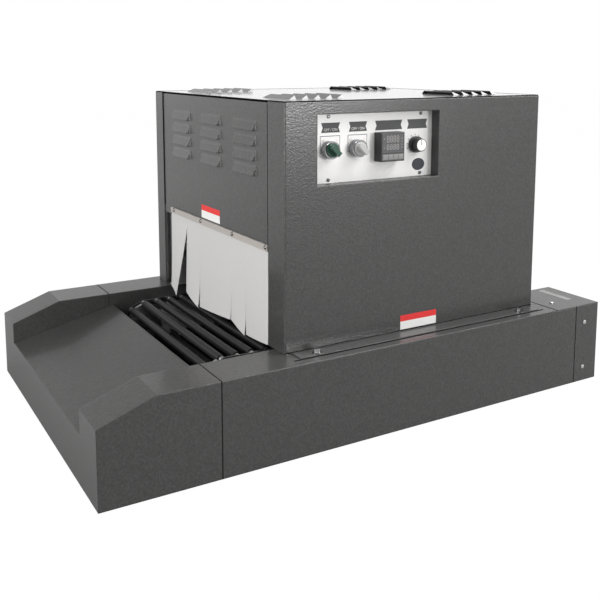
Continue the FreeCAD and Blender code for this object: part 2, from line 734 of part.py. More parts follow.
def end_panel(outward):
    """Louvered end wall with the tunnel's doorway, lapped behind the covers' returns."""
    x_face = X_TUNNEL_IN - SKIN if outward < 0 else X_TUNNEL_OUT + SKIN
    x0, x1 = sorted((x_face, x_face - outward * SKIN))
    inset = SKIN + FIT
    sheet = block(x0, x1, Y_HOOD_FRONT + inset, Y_HOOD_REAR - inset, BASE_HEIGHT, Z_HOOD - inset)
    sheet = sheet.cut(block(x0 - 1, x1 + 1, Y_DOOR_FRONT, Y_DOOR_REAR, 0, Z_DOOR))
    louvers = []
    for column in range(END_LOUVER_COLUMNS):
        y = Y_HOOD_MID + (column - (END_LOUVER_COLUMNS - 1) / 2) * END_LOUVER_COLUMN
        for row in range(END_LOUVER_ROWS):
            z = Z_HOOD - END_LOUVER_DROP - END_LOUVER_HEIGHT - row * END_LOUVER_ROW
            mouth = FreeCAD.Vector(x_face, y, z)
            louvers.append(louver(END_LOUVER_WIDTH, END_LOUVER_HEIGHT, END_LOUVER_DEPTH,
                                  mouth, ALONG_Y * -outward, ALONG_Z, ALONG_X * outward))
    return louvered(sheet, louvers)


def top_cover():
    """Lid with four groups of louvers, whose mouths face the middle."""
    inset = LID_INSET
    sheet = block(X_HOOD_IN + inset, X_HOOD_OUT - inset, Y_HOOD_FRONT + inset, Y_HOOD_REAR - inset,
                  Z_HOOD, Z_HOOD + SKIN)
    louvers = []
    for way in (-1, 1):
        for bank in (-1, 1):
            for row in range(TOP_LOUVER_COUNT):
                shift = (row - (TOP_LOUVER_COUNT - 1) / 2) * TOP_LOUVER_ROW - way * TOP_LOUVER_HEIGHT / 2
                x = X_HOOD_MID + way * TOP_GROUP_X + shift
                mouth = FreeCAD.Vector(x, Y_HOOD_MID + bank * TOP_GROUP_Y, Z_HOOD + SKIN)
                louvers.append(louver(TOP_LOUVER_WIDTH, TOP_LOUVER_HEIGHT, TOP_LOUVER_DEPTH,
                                      mouth, ALONG_Y * way, ALONG_X * way, ALONG_Z))
    return louvered(sheet, louvers)


def hex_bolt(x, y, z, washer):
    """Hexagon head on a plain washer."""
    radius = BOLT_FLATS / math.sqrt(3)
    corners = [math.radians(60 * i) for i in range(6)]
    outline = [(x + radius * math.cos(a), y + radius * math.sin(a)) for a in corners]
    head = prism_z(outline, z + WASHER_THICK, z + WASHER_THICK + BOLT_HEAD)
    return join([drum_z(z, z + WASHER_THICK, x, y, washer, PLAIN_SIDES), head])


def hood_bolts():
    """Bolts that hold the hood's foot flanges to the side covers."""
    z = BASE_HEIGHT + SKIN
    front, rear = Y_HOOD_FRONT - BOLT_STANDOFF, Y_HOOD_REAR + REAR_BOLT_STANDOFF
    xs = [X_HOOD_MID - BOLT_SPREAD, X_HOOD_MID + BOLT_SPREAD]
    bolts = [hex_bolt(x, front, z, WASHER_RADIUS) for x in xs]
    return bolts + [hex_bolt(x, rear, z, REAR_WASHER_RADIUS) for x in xs]


# Heated tunnel

def arch(y0, y1, roof, skin, foot):
    """(y, z) outline of a folded sheet arch whose inner faces are given, with feet turned outwards."""
    low = BASE_HEIGHT
    outline = [(y0, low), (y0, roof), (y1, roof), (y1, low)]
    if foot:
        outline += [(y1 + foot, low), (y1 + foot, low + skin), (y1 + skin, low + skin)]
    else:
        outline += [(y1 + skin, low)]
    outline += [(y1 + skin, roof + skin), (y0 - skin, roof + skin)]
    if foot:
        outline += [(y0 - skin, low + skin), (y0 - foot, low + skin), (y0 - foot, low)]
    else:
        outline += [(y0 - skin, low)]
    return outline


def liner_sides():
    """Inner faces of the tunnel liner's two walls."""
    return Y_DOOR_FRONT - LINER_SIDE, Y_MOUTH_REAR + LINER_SIDE


def plenum_sides():
    """Inner faces of the air casing's two walls."""
    room = SKIN + INSULATION_SIDE + LINER_SKIN
    return Y_HOOD_FRONT + room, Y_HOOD_REAR - room


def rear_jamb(x_mouth, inward):
    """Sunk jamb from the liner's rear wall to the doorway's rear edge, closing the end of the air duct."""
    y0, y1 = liner_sides()[1], plenum_sides()[1] - FIT
    x_back = x_mouth + inward * JAMB_SETBACK
    back = block(*sorted((x_back, x_back + inward * LINER_SKIN)), y0, y1, BASE_HEIGHT, Z_LINER + LINER_SKIN)
    roof = block(*sorted((x_mouth, x_back)), y0, y1, Z_LINER, Z_LINER + LINER_SKIN)
    return [back, roof]


def tunnel_liner():
    """Inner tunnel sheet: hot air comes in by slots in its sides and leaves by the hole in its roof."""
    y0, y1 = liner_sides()
    sheet = prism_x(arch(y0, y1, Z_LINER, LINER_SKIN, LINER_FOOT), X_TUNNEL_IN, X_TUNNEL_OUT)
    sheet = join([sheet] + rear_jamb(X_TUNNEL_IN, 1) + rear_jamb(X_TUNNEL_OUT, -1))
    cuts = [drum_z(Z_LINER - 1, Z_LINER + BEYOND, X_HOOD_MID, Y_MOUTH_MID, INTAKE_RADIUS, 2 * PLAIN_SIDES)]
    step = (X_TUNNEL_OUT - X_TUNNEL_IN) / SLOT_COUNT
    z = BASE_HEIGHT + SLOT_RISE
    for i in range(SLOT_COUNT):
        x = X_TUNNEL_IN + (i + 0.5) * step - SLOT_LENGTH / 2
        for wall in (y0 - LINER_SKIN, y1):
            cuts.append(block(x, x + SLOT_LENGTH, wall - 1, wall + LINER_SKIN + 1, z, z + SLOT_HEIGHT))
    return sheet.cut(cuts)


def plenum_shell():
    """Air casing round the liner; the blower's spindle comes through its roof."""
    y0, y1 = plenum_sides()
    sheet = prism_x(arch(y0, y1, Z_PLENUM, LINER_SKIN, 0), X_TUNNEL_IN, X_TUNNEL_OUT)
    spindle = drum_z(Z_PLENUM - 1, Z_PLENUM + BEYOND, X_HOOD_MID, Y_MOUTH_MID, HUB_RADIUS)
    x, y = probe_place()
    probe = drum_z(Z_PLENUM - 1, Z_PLENUM + BEYOND, x, y, PROBE_RADIUS + FIT)
    return sheet.cut([spindle, probe])


def insulation_boards():
    """Mineral boards in front of, behind and over the air casing."""
    y0, y1 = plenum_sides()
    front, rear = y0 - LINER_SKIN, y1 + LINER_SKIN
    x0, x1, low = X_TUNNEL_IN, X_TUNNEL_OUT, BASE_HEIGHT
    top = block(x0, x1, front, rear, Z_LAGGING - INSULATION_TOP, Z_LAGGING)
    neck = drum_z(0, Z_LAGGING + 1, X_HOOD_MID, Y_MOUTH_MID, BLOWER_NECK + BLOWER_NECK_PLAY)
    x, y = probe_place()
    probe = drum_z(0, Z_LAGGING + 1, x, y, PROBE_RADIUS + FIT)
    sides = [(Y_HOOD_FRONT + SKIN, front), (rear, Y_HOOD_REAR - SKIN)]
    boards = [block(x0, x1, a, b, low, Z_LAGGING) for a, b in sides]
    return boards + [top.cut([neck, probe])]


def heater_elements():
    """Two strip heaters on stand-offs in each side duct."""
    heaters = []
    x0, x1 = X_TUNNEL_IN + HEATER_END, X_TUNNEL_OUT - HEATER_END
    for wall, inward in zip(plenum_sides(), (1, -1)):
        for bank in range(2):
            z = BASE_HEIGHT + HEATER_RISE + bank * HEATER_SPACING
            near = wall + inward * STANDOFF
            strip = block(x0, x1, *sorted((near, near + inward * HEATER_THICK)), z, z + HEATER_HEIGHT)
            z_post = z + (HEATER_HEIGHT - STANDOFF) / 2
            posts = [
                block(x, x + STANDOFF, *sorted((wall, near)), z_post, z_post + STANDOFF)
                for x in (x0 + HEATER_END, x1 - HEATER_END - STANDOFF)
            ]
            heaters.append(join([strip] + posts))
    return heaters


def blower_impeller():
    """Backward-leaning radial wheel on its spindle, over the hole in the tunnel's roof."""
    x, y = X_HOOD_MID, Y_MOUTH_MID
    low = Z_LINER + LINER_SKIN + IMPELLER_GAP
    top = low + IMPELLER_DEPTH
    sides = 2 * IMPELLER_BLADES
    back = drum_z(top, top + IMPELLER_SKIN, x, y, IMPELLER_RADIUS, sides)
    hub = drum_z(low, top, x, y, HUB_RADIUS)
    spindle = rod_z(top, Z_LAGGING + SPINDLE_REACH, x, y, SPINDLE_RADIUS)
    ring = drum_z(low, low + IMPELLER_SKIN, x, y, IMPELLER_RADIUS, sides)
    ring = ring.cut(drum_z(low - 1, low + BEYOND, x, y, BLADE_INNER, sides))
    blades = []
    for i in range(IMPELLER_BLADES):
        inner = math.radians(360 * i / IMPELLER_BLADES)
        outer = inner - math.radians(BLADE_LEAN)
        a = FreeCAD.Vector(x + BLADE_INNER * math.cos(inner), y + BLADE_INNER * math.sin(inner), low)
        rim = IMPELLER_RADIUS - IMPELLER_SKIN
        b = FreeCAD.Vector(x + rim * math.cos(outer), y + rim * math.sin(outer), low)
        across = (b - a).cross(ALONG_Z).normalize() * (IMPELLER_SKIN / 2)
        blade = face_of([a - across, b - across, b + across, a + across])
        blades.append(blade.extrude(ALONG_Z * IMPELLER_DEPTH))
    return join([back, hub, spindle, ring] + blades)


def blower_motor():
    """Blower motor, standing on a neck that passes the top insulation."""
    x, y = X_HOOD_MID, Y_MOUTH_MID
    seat = Z_PLENUM + LINER_SKIN
    half = BLOWER_FLANGE
    neck = drum_z(seat, Z_LAGGING, x, y, BLOWER_NECK)
    flange = block(x - half, x + half, y - half, y + half, Z_LAGGING, Z_LAGGING + BLOWER_FLANGE_THICK)
    body = drum_z(Z_LAGGING, Z_LAGGING + BLOWER_HEIGHT, x, y, BLOWER_RADIUS, 2 * PLAIN_SIDES)
    bore = rod_z(seat - 1, Z_LAGGING + SPINDLE_REACH + FIT, x, y, SPINDLE_RADIUS + RUNNING_FIT)
    return join([neck, flange, body]).cut(bore)


def probe_place():
    """Where the thermocouple goes down into the air casing."""
    return X_HOOD_MID + PROBE_OFFSET, Y_MOUTH_MID


def thermocouple():
    """Sheathed probe with a hexagon gland that rests on the top insulation."""
    x, y = probe_place()
    corners = [math.radians(60 * i) for i in range(6)]
    outline = [(x + PROBE_HEAD_RADIUS * math.cos(a), y + PROBE_HEAD_RADIUS * math.sin(a)) for a in corners]
    head = prism_z(outline, Z_LAGGING, Z_LAGGING + PROBE_HEAD_HEIGHT)
    return join([head, drum_z(Z_PLENUM - PROBE_REACH, Z_LAGGING, x, y, PROBE_RADIUS)])


# Control panel

def panel_frame():
    """Sheet frame that lines the window and sets the panel back from it."""
    y0, y1 = Y_HOOD_FRONT + SKIN, Y_PANEL
    skin = FRAME_SKIN
    outer = block(X_WINDOW_IN - skin, X_WINDOW_OUT + skin, y0, y1, Z_WINDOW_FOOT - skin, Z_WINDOW_TOP + skin)
    return outer.cut(block(X_WINDOW_IN, X_WINDOW_OUT, y0 - 1, y1 + 1, Z_WINDOW_FOOT, Z_WINDOW_TOP))


def control_panel():
    """Bright plate behind the window, with the holes of its four controls."""
    border = PANEL_BORDER
    y0, y1 = Y_PANEL, Y_PANEL + PANEL_THICK
    plate = block(X_WINDOW_IN - border, X_WINDOW_OUT + border, y0, y1,
                  Z_WINDOW_FOOT - border, Z_WINDOW_TOP + border)
    half = METER_BODY / 2 + CUTOUT_PLAY
    meter = X_WINDOW_IN + CONTROLLER_X
    holes = [block(meter - half, meter + half, y0 - 1, y1 + 1, Z_CONTROLS - half, Z_CONTROLS + half)]
    for x, radius in ((POWER_X, BARREL_RADIUS), (HEATER_X, BARREL_RADIUS), (SPEED_X, BUSH_RADIUS)):
        holes.append(drum_y(y0 - 1, y1 + 1, X_WINDOW_IN + x, Z_CONTROLS, radius + CUTOUT_PLAY))
    return plate.cut(holes)


def selector_body(x):
    """Selector switch: deep collar in front of the panel, barrel and contact block behind it."""
    bore = COLLAR_RADIUS - COLLAR_WALL
    collar = drum_y(Y_PANEL - COLLAR_DEPTH, Y_PANEL, x, Z_CONTROLS, COLLAR_RADIUS, COLLAR_SIDES)
    collar = collar.cut(drum_y(Y_PANEL - COLLAR_DEPTH - 1, Y_PANEL - SKIN, x, Z_CONTROLS, bore, COLLAR_SIDES))
    back = Y_PANEL + PANEL_THICK + BARREL_DEPTH
    barrel = drum_y(Y_PANEL - SKIN, back, x, Z_CONTROLS, BARREL_RADIUS)
    contacts = block(x - CONTACT_WIDTH / 2, x + CONTACT_WIDTH / 2, back - SKIN, back + CONTACT_DEPTH,
                     Z_CONTROLS - CONTACT_HEIGHT / 2, Z_CONTROLS + CONTACT_HEIGHT / 2)
    return join([collar, barrel, contacts])


def selector_knob(x):
    """Turning disc with a lever across it, pointed at one end, at rest in its left-hand place."""
    radius = COLLAR_RADIUS - COLLAR_WALL - KNOB_PLAY
    front = Y_PANEL - COLLAR_DEPTH - KNOB_PROUD
    disc = drum_y(front, Y_PANEL - SKIN - KNOB_PLAY, x, Z_CONTROLS, radius, COLLAR_SIDES)
    half, tip = LEVER_WIDTH / 2, LEVER_WIDTH / 4
    outline = [
        (-half, -LEVER_TAIL),
        (half, -LEVER_TAIL),
        (half, LEVER_NOSE),
        (tip, LEVER_TAIL),
        (-tip, LEVER_TAIL),
        (-half, LEVER_NOSE),
    ]
    turn = math.radians(LEVER_ANGLE)
    c, s = math.cos(turn), math.sin(turn)
    placed = [(x + u * c - v * s, Z_CONTROLS + u * s + v * c) for u, v in outline]
    lever = prism_y(placed, front - LEVER_DEPTH, front + LEVER_ROOT)
    return join([disc, lever])


def key_places():
    """Centres of the controller's keys along its bezel."""
    x = X_WINDOW_IN + CONTROLLER_X
    return [x + (i - (KEY_COUNT - 1) / 2) * KEY_PITCH for i in range(KEY_COUNT)]


def controller_case():
    """Square panel-mount controller: bezel with a sunk lens and key wells, and a body behind the panel."""
    x, z = X_WINDOW_IN + CONTROLLER_X, Z_CONTROLS
    half, front = BEZEL_SIZE / 2, Y_PANEL - BEZEL_DEPTH
    bezel = block(x - half, x + half, front, Y_PANEL, z - half, z + half)
    rim = [e for e in bezel.Edges if abs(e.CenterOfMass.y - front) < 0.01]
    bezel = bezel.makeChamfer(BEZEL_EDGE / 2, rim)
    body = METER_BODY / 2
    body = block(x - body, x + body, Y_PANEL, Y_PANEL + METER_DEPTH, z - body, z + body)
    lens, high = LENS_WIDTH / 2, LENS_HEIGHT / 2
    z_lens = z + LENS_RISE
    cuts = [block(x - lens, x + lens, front - 1, front + LENS_THICK, z_lens - high, z_lens + high)]
    wide, tall = KEY_WIDTH / 2 + KEY_PLAY, KEY_HEIGHT / 2 + KEY_PLAY
    for kx in key_places():
        cuts.append(block(kx - wide, kx + wide, front - 1, front + KEY_WELL,
                          z - KEY_DROP - tall, z - KEY_DROP + tall))
    return join([bezel, body]).cut(cuts)


def controller_lens():
    """Clear window over the controller's two rows of figures."""
    x, z, front = X_WINDOW_IN + CONTROLLER_X, Z_CONTROLS + LENS_RISE, Y_PANEL - BEZEL_DEPTH
    lens, high = LENS_WIDTH / 2 - CUTOUT_PLAY / 2, LENS_HEIGHT / 2 - CUTOUT_PLAY / 2
    return block(x - lens, x + lens, front, front + LENS_THICK, z - high, z + high)


def controller_key(x):
    """One push key, standing a little proud of the bezel."""
    front, z = Y_PANEL - BEZEL_DEPTH, Z_CONTROLS - KEY_DROP
    key = block(x - KEY_WIDTH / 2, x + KEY_WIDTH / 2, front - KEY_PROUD, front + KEY_DEPTH,
                z - KEY_HEIGHT / 2, z + KEY_HEIGHT / 2)
    rim = [e for e in key.Edges if abs(e.CenterOfMass.y - (front - KEY_PROUD)) < 0.01]
    return key.makeChamfer(KEY_PROUD / 2, rim)


def speed_potentiometer():
    """Potentiometer behind the panel, whose threaded bush comes through it."""
    x, back = X_WINDOW_IN + SPEED_X, Y_PANEL + PANEL_THICK
    body = drum_y(back, back + POT_DEPTH, x, Z_CONTROLS, POT_RADIUS)
    bush = drum_y(Y_PANEL - SKIN, back + SKIN, x, Z_CONTROLS, BUSH_RADIUS)
    bore = rod_y(Y_PANEL - BEYOND, back + POT_DEPTH / 2, x, Z_CONTROLS, SPEED_SHAFT_RADIUS + RUNNING_FIT)
    return join([body, bush]).cut(bore)


def speed_shaft():
    """Spindle of the potentiometer."""
    x, back = X_WINDOW_IN + SPEED_X, Y_PANEL + PANEL_THICK
    front = Y_PANEL - SPEED_KNOB_DEPTH + SPEED_SKIRT_DEPTH
    return rod_y(front, back + POT_DEPTH / 2 - FIT, x, Z_CONTROLS, SPEED_SHAFT_RADIUS)


def speed_knob():
    """Skirted knob, bored for the spindle and sunk behind to clear the bush."""
    x = X_WINDOW_IN + SPEED_X
    back = Y_PANEL - SPEED_KNOB_GAP
    waist = back - SPEED_SKIRT_DEPTH
    skirt = drum_y(waist, back, x, Z_CONTROLS, SPEED_SKIRT_RADIUS, COLLAR_SIDES)
    cap = drum_y(Y_PANEL - SPEED_KNOB_DEPTH, waist, x, Z_CONTROLS, SPEED_CAP_RADIUS, SPEED_FLUTES)
    front = Y_PANEL - SPEED_KNOB_DEPTH + SPEED_SKIRT_DEPTH - FIT
    bore = drum_y(front, back + 1, x, Z_CONTROLS, SPEED_SHAFT_RADIUS + FIT)
    sink = drum_y(Y_PANEL - SKIN - FIT, back + 1, x, Z_CONTROLS, BUSH_RADIUS + KNOB_PLAY)
    return join([skirt, cap]).cut([bore, sink])


# Upper compartment

def heater_relay():
    """Solid-state relay on a finned heat sink, fixed to the inside of the front cover."""
    x, z, wall = X_HOOD_OUT - RELAY_INSET, BASE_HEIGHT + RELAY_RISE, Y_HOOD_FRONT + SKIN
    half, high = RELAY_WIDTH / 2, RELAY_HEIGHT / 2
    plate = block(x - half, x + half, wall + SINK_FIN, wall + SINK_FIN + SINK_BASE, z - high, z + high)
    pitch = (RELAY_WIDTH - SINK_FIN_THICK) / (SINK_FINS - 1)
    starts = [x - half + i * pitch for i in range(SINK_FINS)]
    fins = [block(a, a + SINK_FIN_THICK, wall, wall + SINK_FIN, z - high, z + high) for a in starts]
    seat = wall + SINK_FIN + SINK_BASE
    body = block(x - half / 2, x + half / 2, seat, seat + RELAY_BODY, z - high / 2, z + high / 2)
    return join([plate] + fins + [body])


def speed_board():
    """Motor speed board on four pillars, fixed to the inside of the rear cover."""
    x0, z0 = X_HOOD_IN + BOARD_START, BASE_HEIGHT + BOARD_RISE
    x1, z1, wall = x0 + BOARD_LENGTH, z0 + BOARD_HEIGHT, Y_HOOD_REAR - SKIN
    near = wall - PILLAR - BOARD_THICK
    board = block(x0, x1, near, near + BOARD_THICK, z0, z1)
    half = PILLAR / 2
    pillars = [
        block(x - half, x + half, near, wall, z - half, z + half)
        for x in (x0 + PILLAR_INSET, x1 - PILLAR_INSET) for z in (z0 + PILLAR_INSET, z1 - PILLAR_INSET)
    ]
    x, z = (x0 + x1) / 2, (z0 + z1) / 2
    half = COIL_SIZE / 2
    coil = block(x - half, x + half, near - COIL_SIZE, near, z - half, z + half)
    return join([board, coil] + pillars)


def mains_inlet():
    """Flush three-pin inlet in the rear cover."""
    x, z, wall = X_HOOD_IN + INLET_X, BASE_HEIGHT + INLET_RISE, Y_HOOD_REAR
    wide, high = INLET_FLANGE_LENGTH / 2, INLET_FLANGE_HEIGHT / 2
    flange = block(x - wide, x + wide, wall, wall + INLET_FLANGE_THICK, z - high, z + high)
    wide, high = INLET_BODY_LENGTH / 2, INLET_BODY_HEIGHT / 2
    body = block(x - wide, x + wide, wall - INLET_BODY_DEPTH, wall, z - high, z + high)
    wide, high, face = wide - INLET_WALL, high - INLET_WALL, wall + INLET_FLANGE_THICK
    pocket = block(x - wide, x + wide, face - INLET_POCKET, face + 1, z - high, z + high)
    floor = face - INLET_POCKET
    pins = [
        block(px - INLET_PIN_THICK / 2, px + INLET_PIN_THICK / 2, floor - 1, face - INLET_FLANGE_THICK,
              pz - INLET_PIN_WIDTH / 2, pz + INLET_PIN_WIDTH / 2)
        for px, pz in ((x - INLET_PIN_PITCH, z), (x, z), (x + INLET_PIN_PITCH, z))
    ]
    return join([join([flange, body]).cut(pocket)] + pins)


# Strip curtains

def curtain_face(outward):
    """X of the end panel's outer face, where a curtain hangs."""
    return X_HOOD_IN + SKIN if outward < 0 else X_HOOD_OUT - SKIN


def curtain_span():
    """Y of the two side edges of a curtain."""
    return Y_DOOR_FRONT + STRIP_END_GAP, Y_MOUTH_REAR - STRIP_END_GAP


def curtain_layer(outward, inner, outer, low, high):
    """Flat strip over the doorway, between two distances from the end panel's face."""
    y0, y1 = curtain_span()
    x0, x1 = sorted((curtain_face(outward) + outward * inner, curtain_face(outward) + outward * outer))
    return block(x0, x1, y0, y1, low, high)


def curtain_bar(outward):
    """Clamping bar over the top edge of a curtain."""
    low = Z_DOOR + BAR_RISE
    return curtain_layer(outward, CLOTH, CLOTH + BAR_THICK, low, low + BAR_HEIGHT)


def curtain_header(outward):
    """Uncut top band of a curtain, held between the bar and the end panel."""
    return curtain_layer(outward, 0.0, CLOTH, Z_STRIP_HINGE, Z_DOOR + BAR_RISE + BAR_HEIGHT)


def strip_section(outward, edges, swell, share, heights):
    """Closed outline of a hanging strip at one level: two bowed sides a cloth's thickness apart.

    edges holds (y, how far the edge has curled outwards at the foot) for both sides of the strip, and
    heights how high the level is at these sides.
    """
    face = curtain_face(outward)
    (ya, da), (yb, db) = edges
    za, zb = heights
    places = [(ya, da, za), ((ya + yb) / 2, (da + db) / 2 + swell, (za + zb) / 2), (yb, db, zb)]

    def at(place, layer):
        y, depth, z = place
        return FreeCAD.Vector(face + outward * (depth * share + layer), y, z)

    a0, m0, b0 = (at(place, 0.0) for place in places)
    a1, m1, b1 = (at(place, CLOTH) for place in places)
    if share == 0:
        sides = [Part.LineSegment(a0, b0), Part.LineSegment(b1, a1)]
    else:
        sides = [Part.Arc(a0, m0, b0), Part.Arc(b1, m1, a1)]
    ends = [Part.LineSegment(b0, b1), Part.LineSegment(a1, a0)]
    return Part.Wire([sides[0].toShape(), ends[0].toShape(), sides[1].toShape(), ends[1].toShape()])


# Each strip from the rear: how far its rear and front edges curl outwards at the foot, its belly between
# them, and how high the foot's rear and front corners hang over the rollers
INFEED_CURLS = [
    (4.0, 24.0, -1.5, 13.0, 4.0),
    (5.0, 6.0, 1.0, 20.0, 3.0),
    (6.0, 1.0, 2.0, 4.0, 16.0),
    (1.0, 6.0, 1.0, 16.0, 4.0),
    (5.0, 1.0, 1.5, 5.0, 11.0),
]
OUTFEED_CURLS = [
    (1.0, 2.0, 0.6, 12.0, 12.0),
    (2.0, 3.0, 0.6, 12.0, 12.0),
    (3.0, 2.0, 0.6, 12.0, 12.0),
    (2.0, 3.0, 0.6, 12.0, 12.0),
    (3.0, 2.0, 0.6, 12.0, 12.0),
]


def strip_edges(index):
    """Y of the rear and front edges of a strip, half a slit in from the cuts beside it."""
    y0, y1 = curtain_span()
    before = sum(STRIP_SHARES[:index])
    after = before + STRIP_SHARES[index]
    return y1 - before * (y1 - y0) - STRIP_SLIT / 2, y1 - after * (y1 - y0) + STRIP_SLIT / 2


def curtain_strip(outward, index, curl):
    """One strip of a curtain, flat at its hinge line and curled towards its foot."""
    rear, front, swell, rear_foot, front_foot = curl
    ya, yb = strip_edges(index)
    edges = ((ya, rear), (yb, front))
    top = Z_STRIP_HINGE - STRIP_HINGE_GAP
    knee = top - STRIP_KNEE * (top - ROLLER_TOP)
    feet = (ROLLER_TOP + rear_foot, ROLLER_TOP + front_foot)
    levels = [(0, (top, top)), (STRIP_KNEE_SHARE, (knee, knee)), (1, feet)]
    wires = [strip_section(outward, edges, swell, share, heights) for share, heights in levels]
    return Part.makeLoft(wires, True, True)


def main():
    """Build every node of the tunnel."""
    os.makedirs("parts", exist_ok=True)
    pins = pin_places()

    write("base_pan", base_pan())
    write("rubber_feet", *rubber_feet())
    write("infeed_casing", infeed_casing())
    write("infeed_ramp", infeed_ramp())
    write("front_side_cover", front_side_cover())
    write("rear_side_cover", side_cover(1))
    write("outfeed_end_cap", outfeed_end_cap())
    write("drive_cover", drive_cover())

    write("chain_rails", chain_rail(-1), chain_rail(1))
    write("conveyor_rollers", *conveyor_rollers(pins))
    write("chain_links", *chain_links(pins))
    write("drive_shaft", shaft(X_DRIVE, SHAFT_REACH))
    write("idler_shaft", shaft(X_IDLER, SHAFT_TAIL))
    write("drive_sprockets", sprocket(X_DRIVE, -1), sprocket(X_DRIVE, 1))
    write("idler_sprockets", sprocket(X_IDLER, -1), sprocket(X_IDLER, 1))
    write("flange_bearings", *[flange_bearing(x, side) for x in (X_IDLER, X_DRIVE) for side in (-1, 1)])
    write("gear_motor", gear_motor())

    write("hood_front_cover", hood_front_cover())
    write("hood_rear_cover", hood_rear_cover())
    write("infeed_end_panel", end_panel(-1))
    write("outfeed_end_panel", end_panel(1))
    write("top_cover", top_cover())
    write("hood_bolts", *hood_bolts())

    write("tunnel_liner", tunnel_liner())
    write("plenum_shell", plenum_shell())
    write("insulation_boards", *insulation_boards())
    write("heater_elements", *heater_elements())
    write("blower_impeller", blower_impeller())
    write("blower_motor", blower_motor())
    write("thermocouple", thermocouple())

    write("panel_frame", panel_frame())
    write("control_panel", control_panel())
    for name, x in (("power", POWER_X), ("heater", HEATER_X)):
        write(name + "_selector_body", selector_body(X_WINDOW_IN + x))
        write(name + "_selector_knob", selector_knob(X_WINDOW_IN + x))
    write("controller_case", controller_case())
    write("controller_lens", controller_lens())
    for number, x in enumerate(key_places(), 1):
        write("controller_key_" + str(number), controller_key(x))
    write("speed_potentiometer", speed_potentiometer())
    write("speed_shaft", speed_shaft())
    write("speed_knob", speed_knob())

    write("heater_relay", heater_relay())
    write("speed_board", speed_board())
    write("mains_inlet", mains_inlet())

    write("curtain_bars", curtain_bar(-1), curtain_bar(1))
    write("curtain_headers", curtain_header(-1), curtain_header(1))
    for index in range(len(STRIP_SHARES)):
        write("infeed_strip_" + str(index + 1), curtain_strip(-1, index, INFEED_CURLS[index]))
        write("outfeed_strip_" + str(index + 1), curtain_strip(1, index, OUTFEED_CURLS[index]))


main()
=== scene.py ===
"""Looks of a benchtop heat-shrink tunnel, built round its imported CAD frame.

The frame gives every rigid piece. This script adds finishes, round rollers, hanging curtains,
the panel's legends and the small screws, then the stage, light and camera.
"""

import logging
import math
from dataclasses import dataclass, field
from enum import Enum

import bmesh
import bpy
from mathutils import Matrix, Vector


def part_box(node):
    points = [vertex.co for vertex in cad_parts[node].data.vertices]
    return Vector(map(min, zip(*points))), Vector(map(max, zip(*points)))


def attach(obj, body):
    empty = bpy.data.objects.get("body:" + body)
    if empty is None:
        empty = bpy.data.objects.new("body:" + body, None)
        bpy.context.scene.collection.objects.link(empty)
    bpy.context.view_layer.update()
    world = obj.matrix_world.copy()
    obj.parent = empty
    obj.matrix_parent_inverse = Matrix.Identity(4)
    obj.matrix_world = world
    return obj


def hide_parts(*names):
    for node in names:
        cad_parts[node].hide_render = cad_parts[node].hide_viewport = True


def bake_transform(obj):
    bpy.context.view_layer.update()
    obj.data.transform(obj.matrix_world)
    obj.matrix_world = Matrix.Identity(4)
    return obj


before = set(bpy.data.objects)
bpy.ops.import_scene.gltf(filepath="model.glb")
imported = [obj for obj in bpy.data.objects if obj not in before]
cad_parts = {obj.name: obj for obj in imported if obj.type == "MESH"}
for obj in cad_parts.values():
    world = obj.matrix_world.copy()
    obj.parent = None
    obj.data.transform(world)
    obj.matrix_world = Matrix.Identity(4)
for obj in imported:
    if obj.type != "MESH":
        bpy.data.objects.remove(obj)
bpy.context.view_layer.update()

logging.basicConfig(level=logging.INFO, format="%(message)s")
log = logging.getLogger("heat_tunnel")

MM = 0.001
ROOT = "tunnel"
Point = tuple[float, float, float]
Color = tuple[float, float, float]

SHEET_SKIN = 1.5 * MM
HOOD_FLANGE = 28.0 * MM
COAT_ROUGHNESS = 0.09
BEVEL_SAMPLES = 4
WEAVE_DISTORTION = 1.5
BRUSH_STRETCH = (0.05, 0.05, 1.0)
GRAIN_SCALE = 300.0
DRIFT = 0.1
DRIFT_DETAIL = 6.0
DRIFT_SCALE = 60.0
MIDDLE_SHADE = 0.5
UNIT_RADIUS = 0.5
PRINT_EDGE = 0.05 * MM
SCREW_SIDES = 16
SCREW_RISE = 0.55
SCREW_SHOULDER = 0.6
SCREW_TOP = 0.7
RANGE_SOCKETS = ("From Min", "From Max", "To Min", "To Max")


class Grain(Enum):
    """Surface relief of a finish."""

    PLAIN = "plain"
    HAMMERED = "hammered"
    BRUSHED = "brushed"
    WOVEN = "woven"


class End(Enum):
    """The two ends of the tunnel, with the way that faces out of each."""

    INFEED = -1
    OUTFEED = 1

    @property
    def label(self) -> str:
        """Name used for the end's nodes and bodies."""
        return self.name.lower()


# Shader groups


def new_group(
    name: str, inputs: dict[str, tuple[str, object]], outputs: dict[str, str]
) -> bpy.types.NodeTree:
    """Make an empty shader group.

    Args:
        name: Name of the group.
        inputs: Socket type and default value of each input.
        outputs: Socket type of each output.

    Returns:
        The group, with its input and output nodes named "in" and "out".
    """
    tree = bpy.data.node_groups.new(name, "ShaderNodeTree")
    for label, (kind, value) in inputs.items():
        tree.interface.new_socket(label, in_out="INPUT", socket_type=kind).default_value = value
    for label, kind in outputs.items():
        tree.interface.new_socket(label, in_out="OUTPUT", socket_type=kind)
    tree.nodes.new("NodeGroupInput").name = "in"
    tree.nodes.new("NodeGroupOutput").name = "out"
    return tree


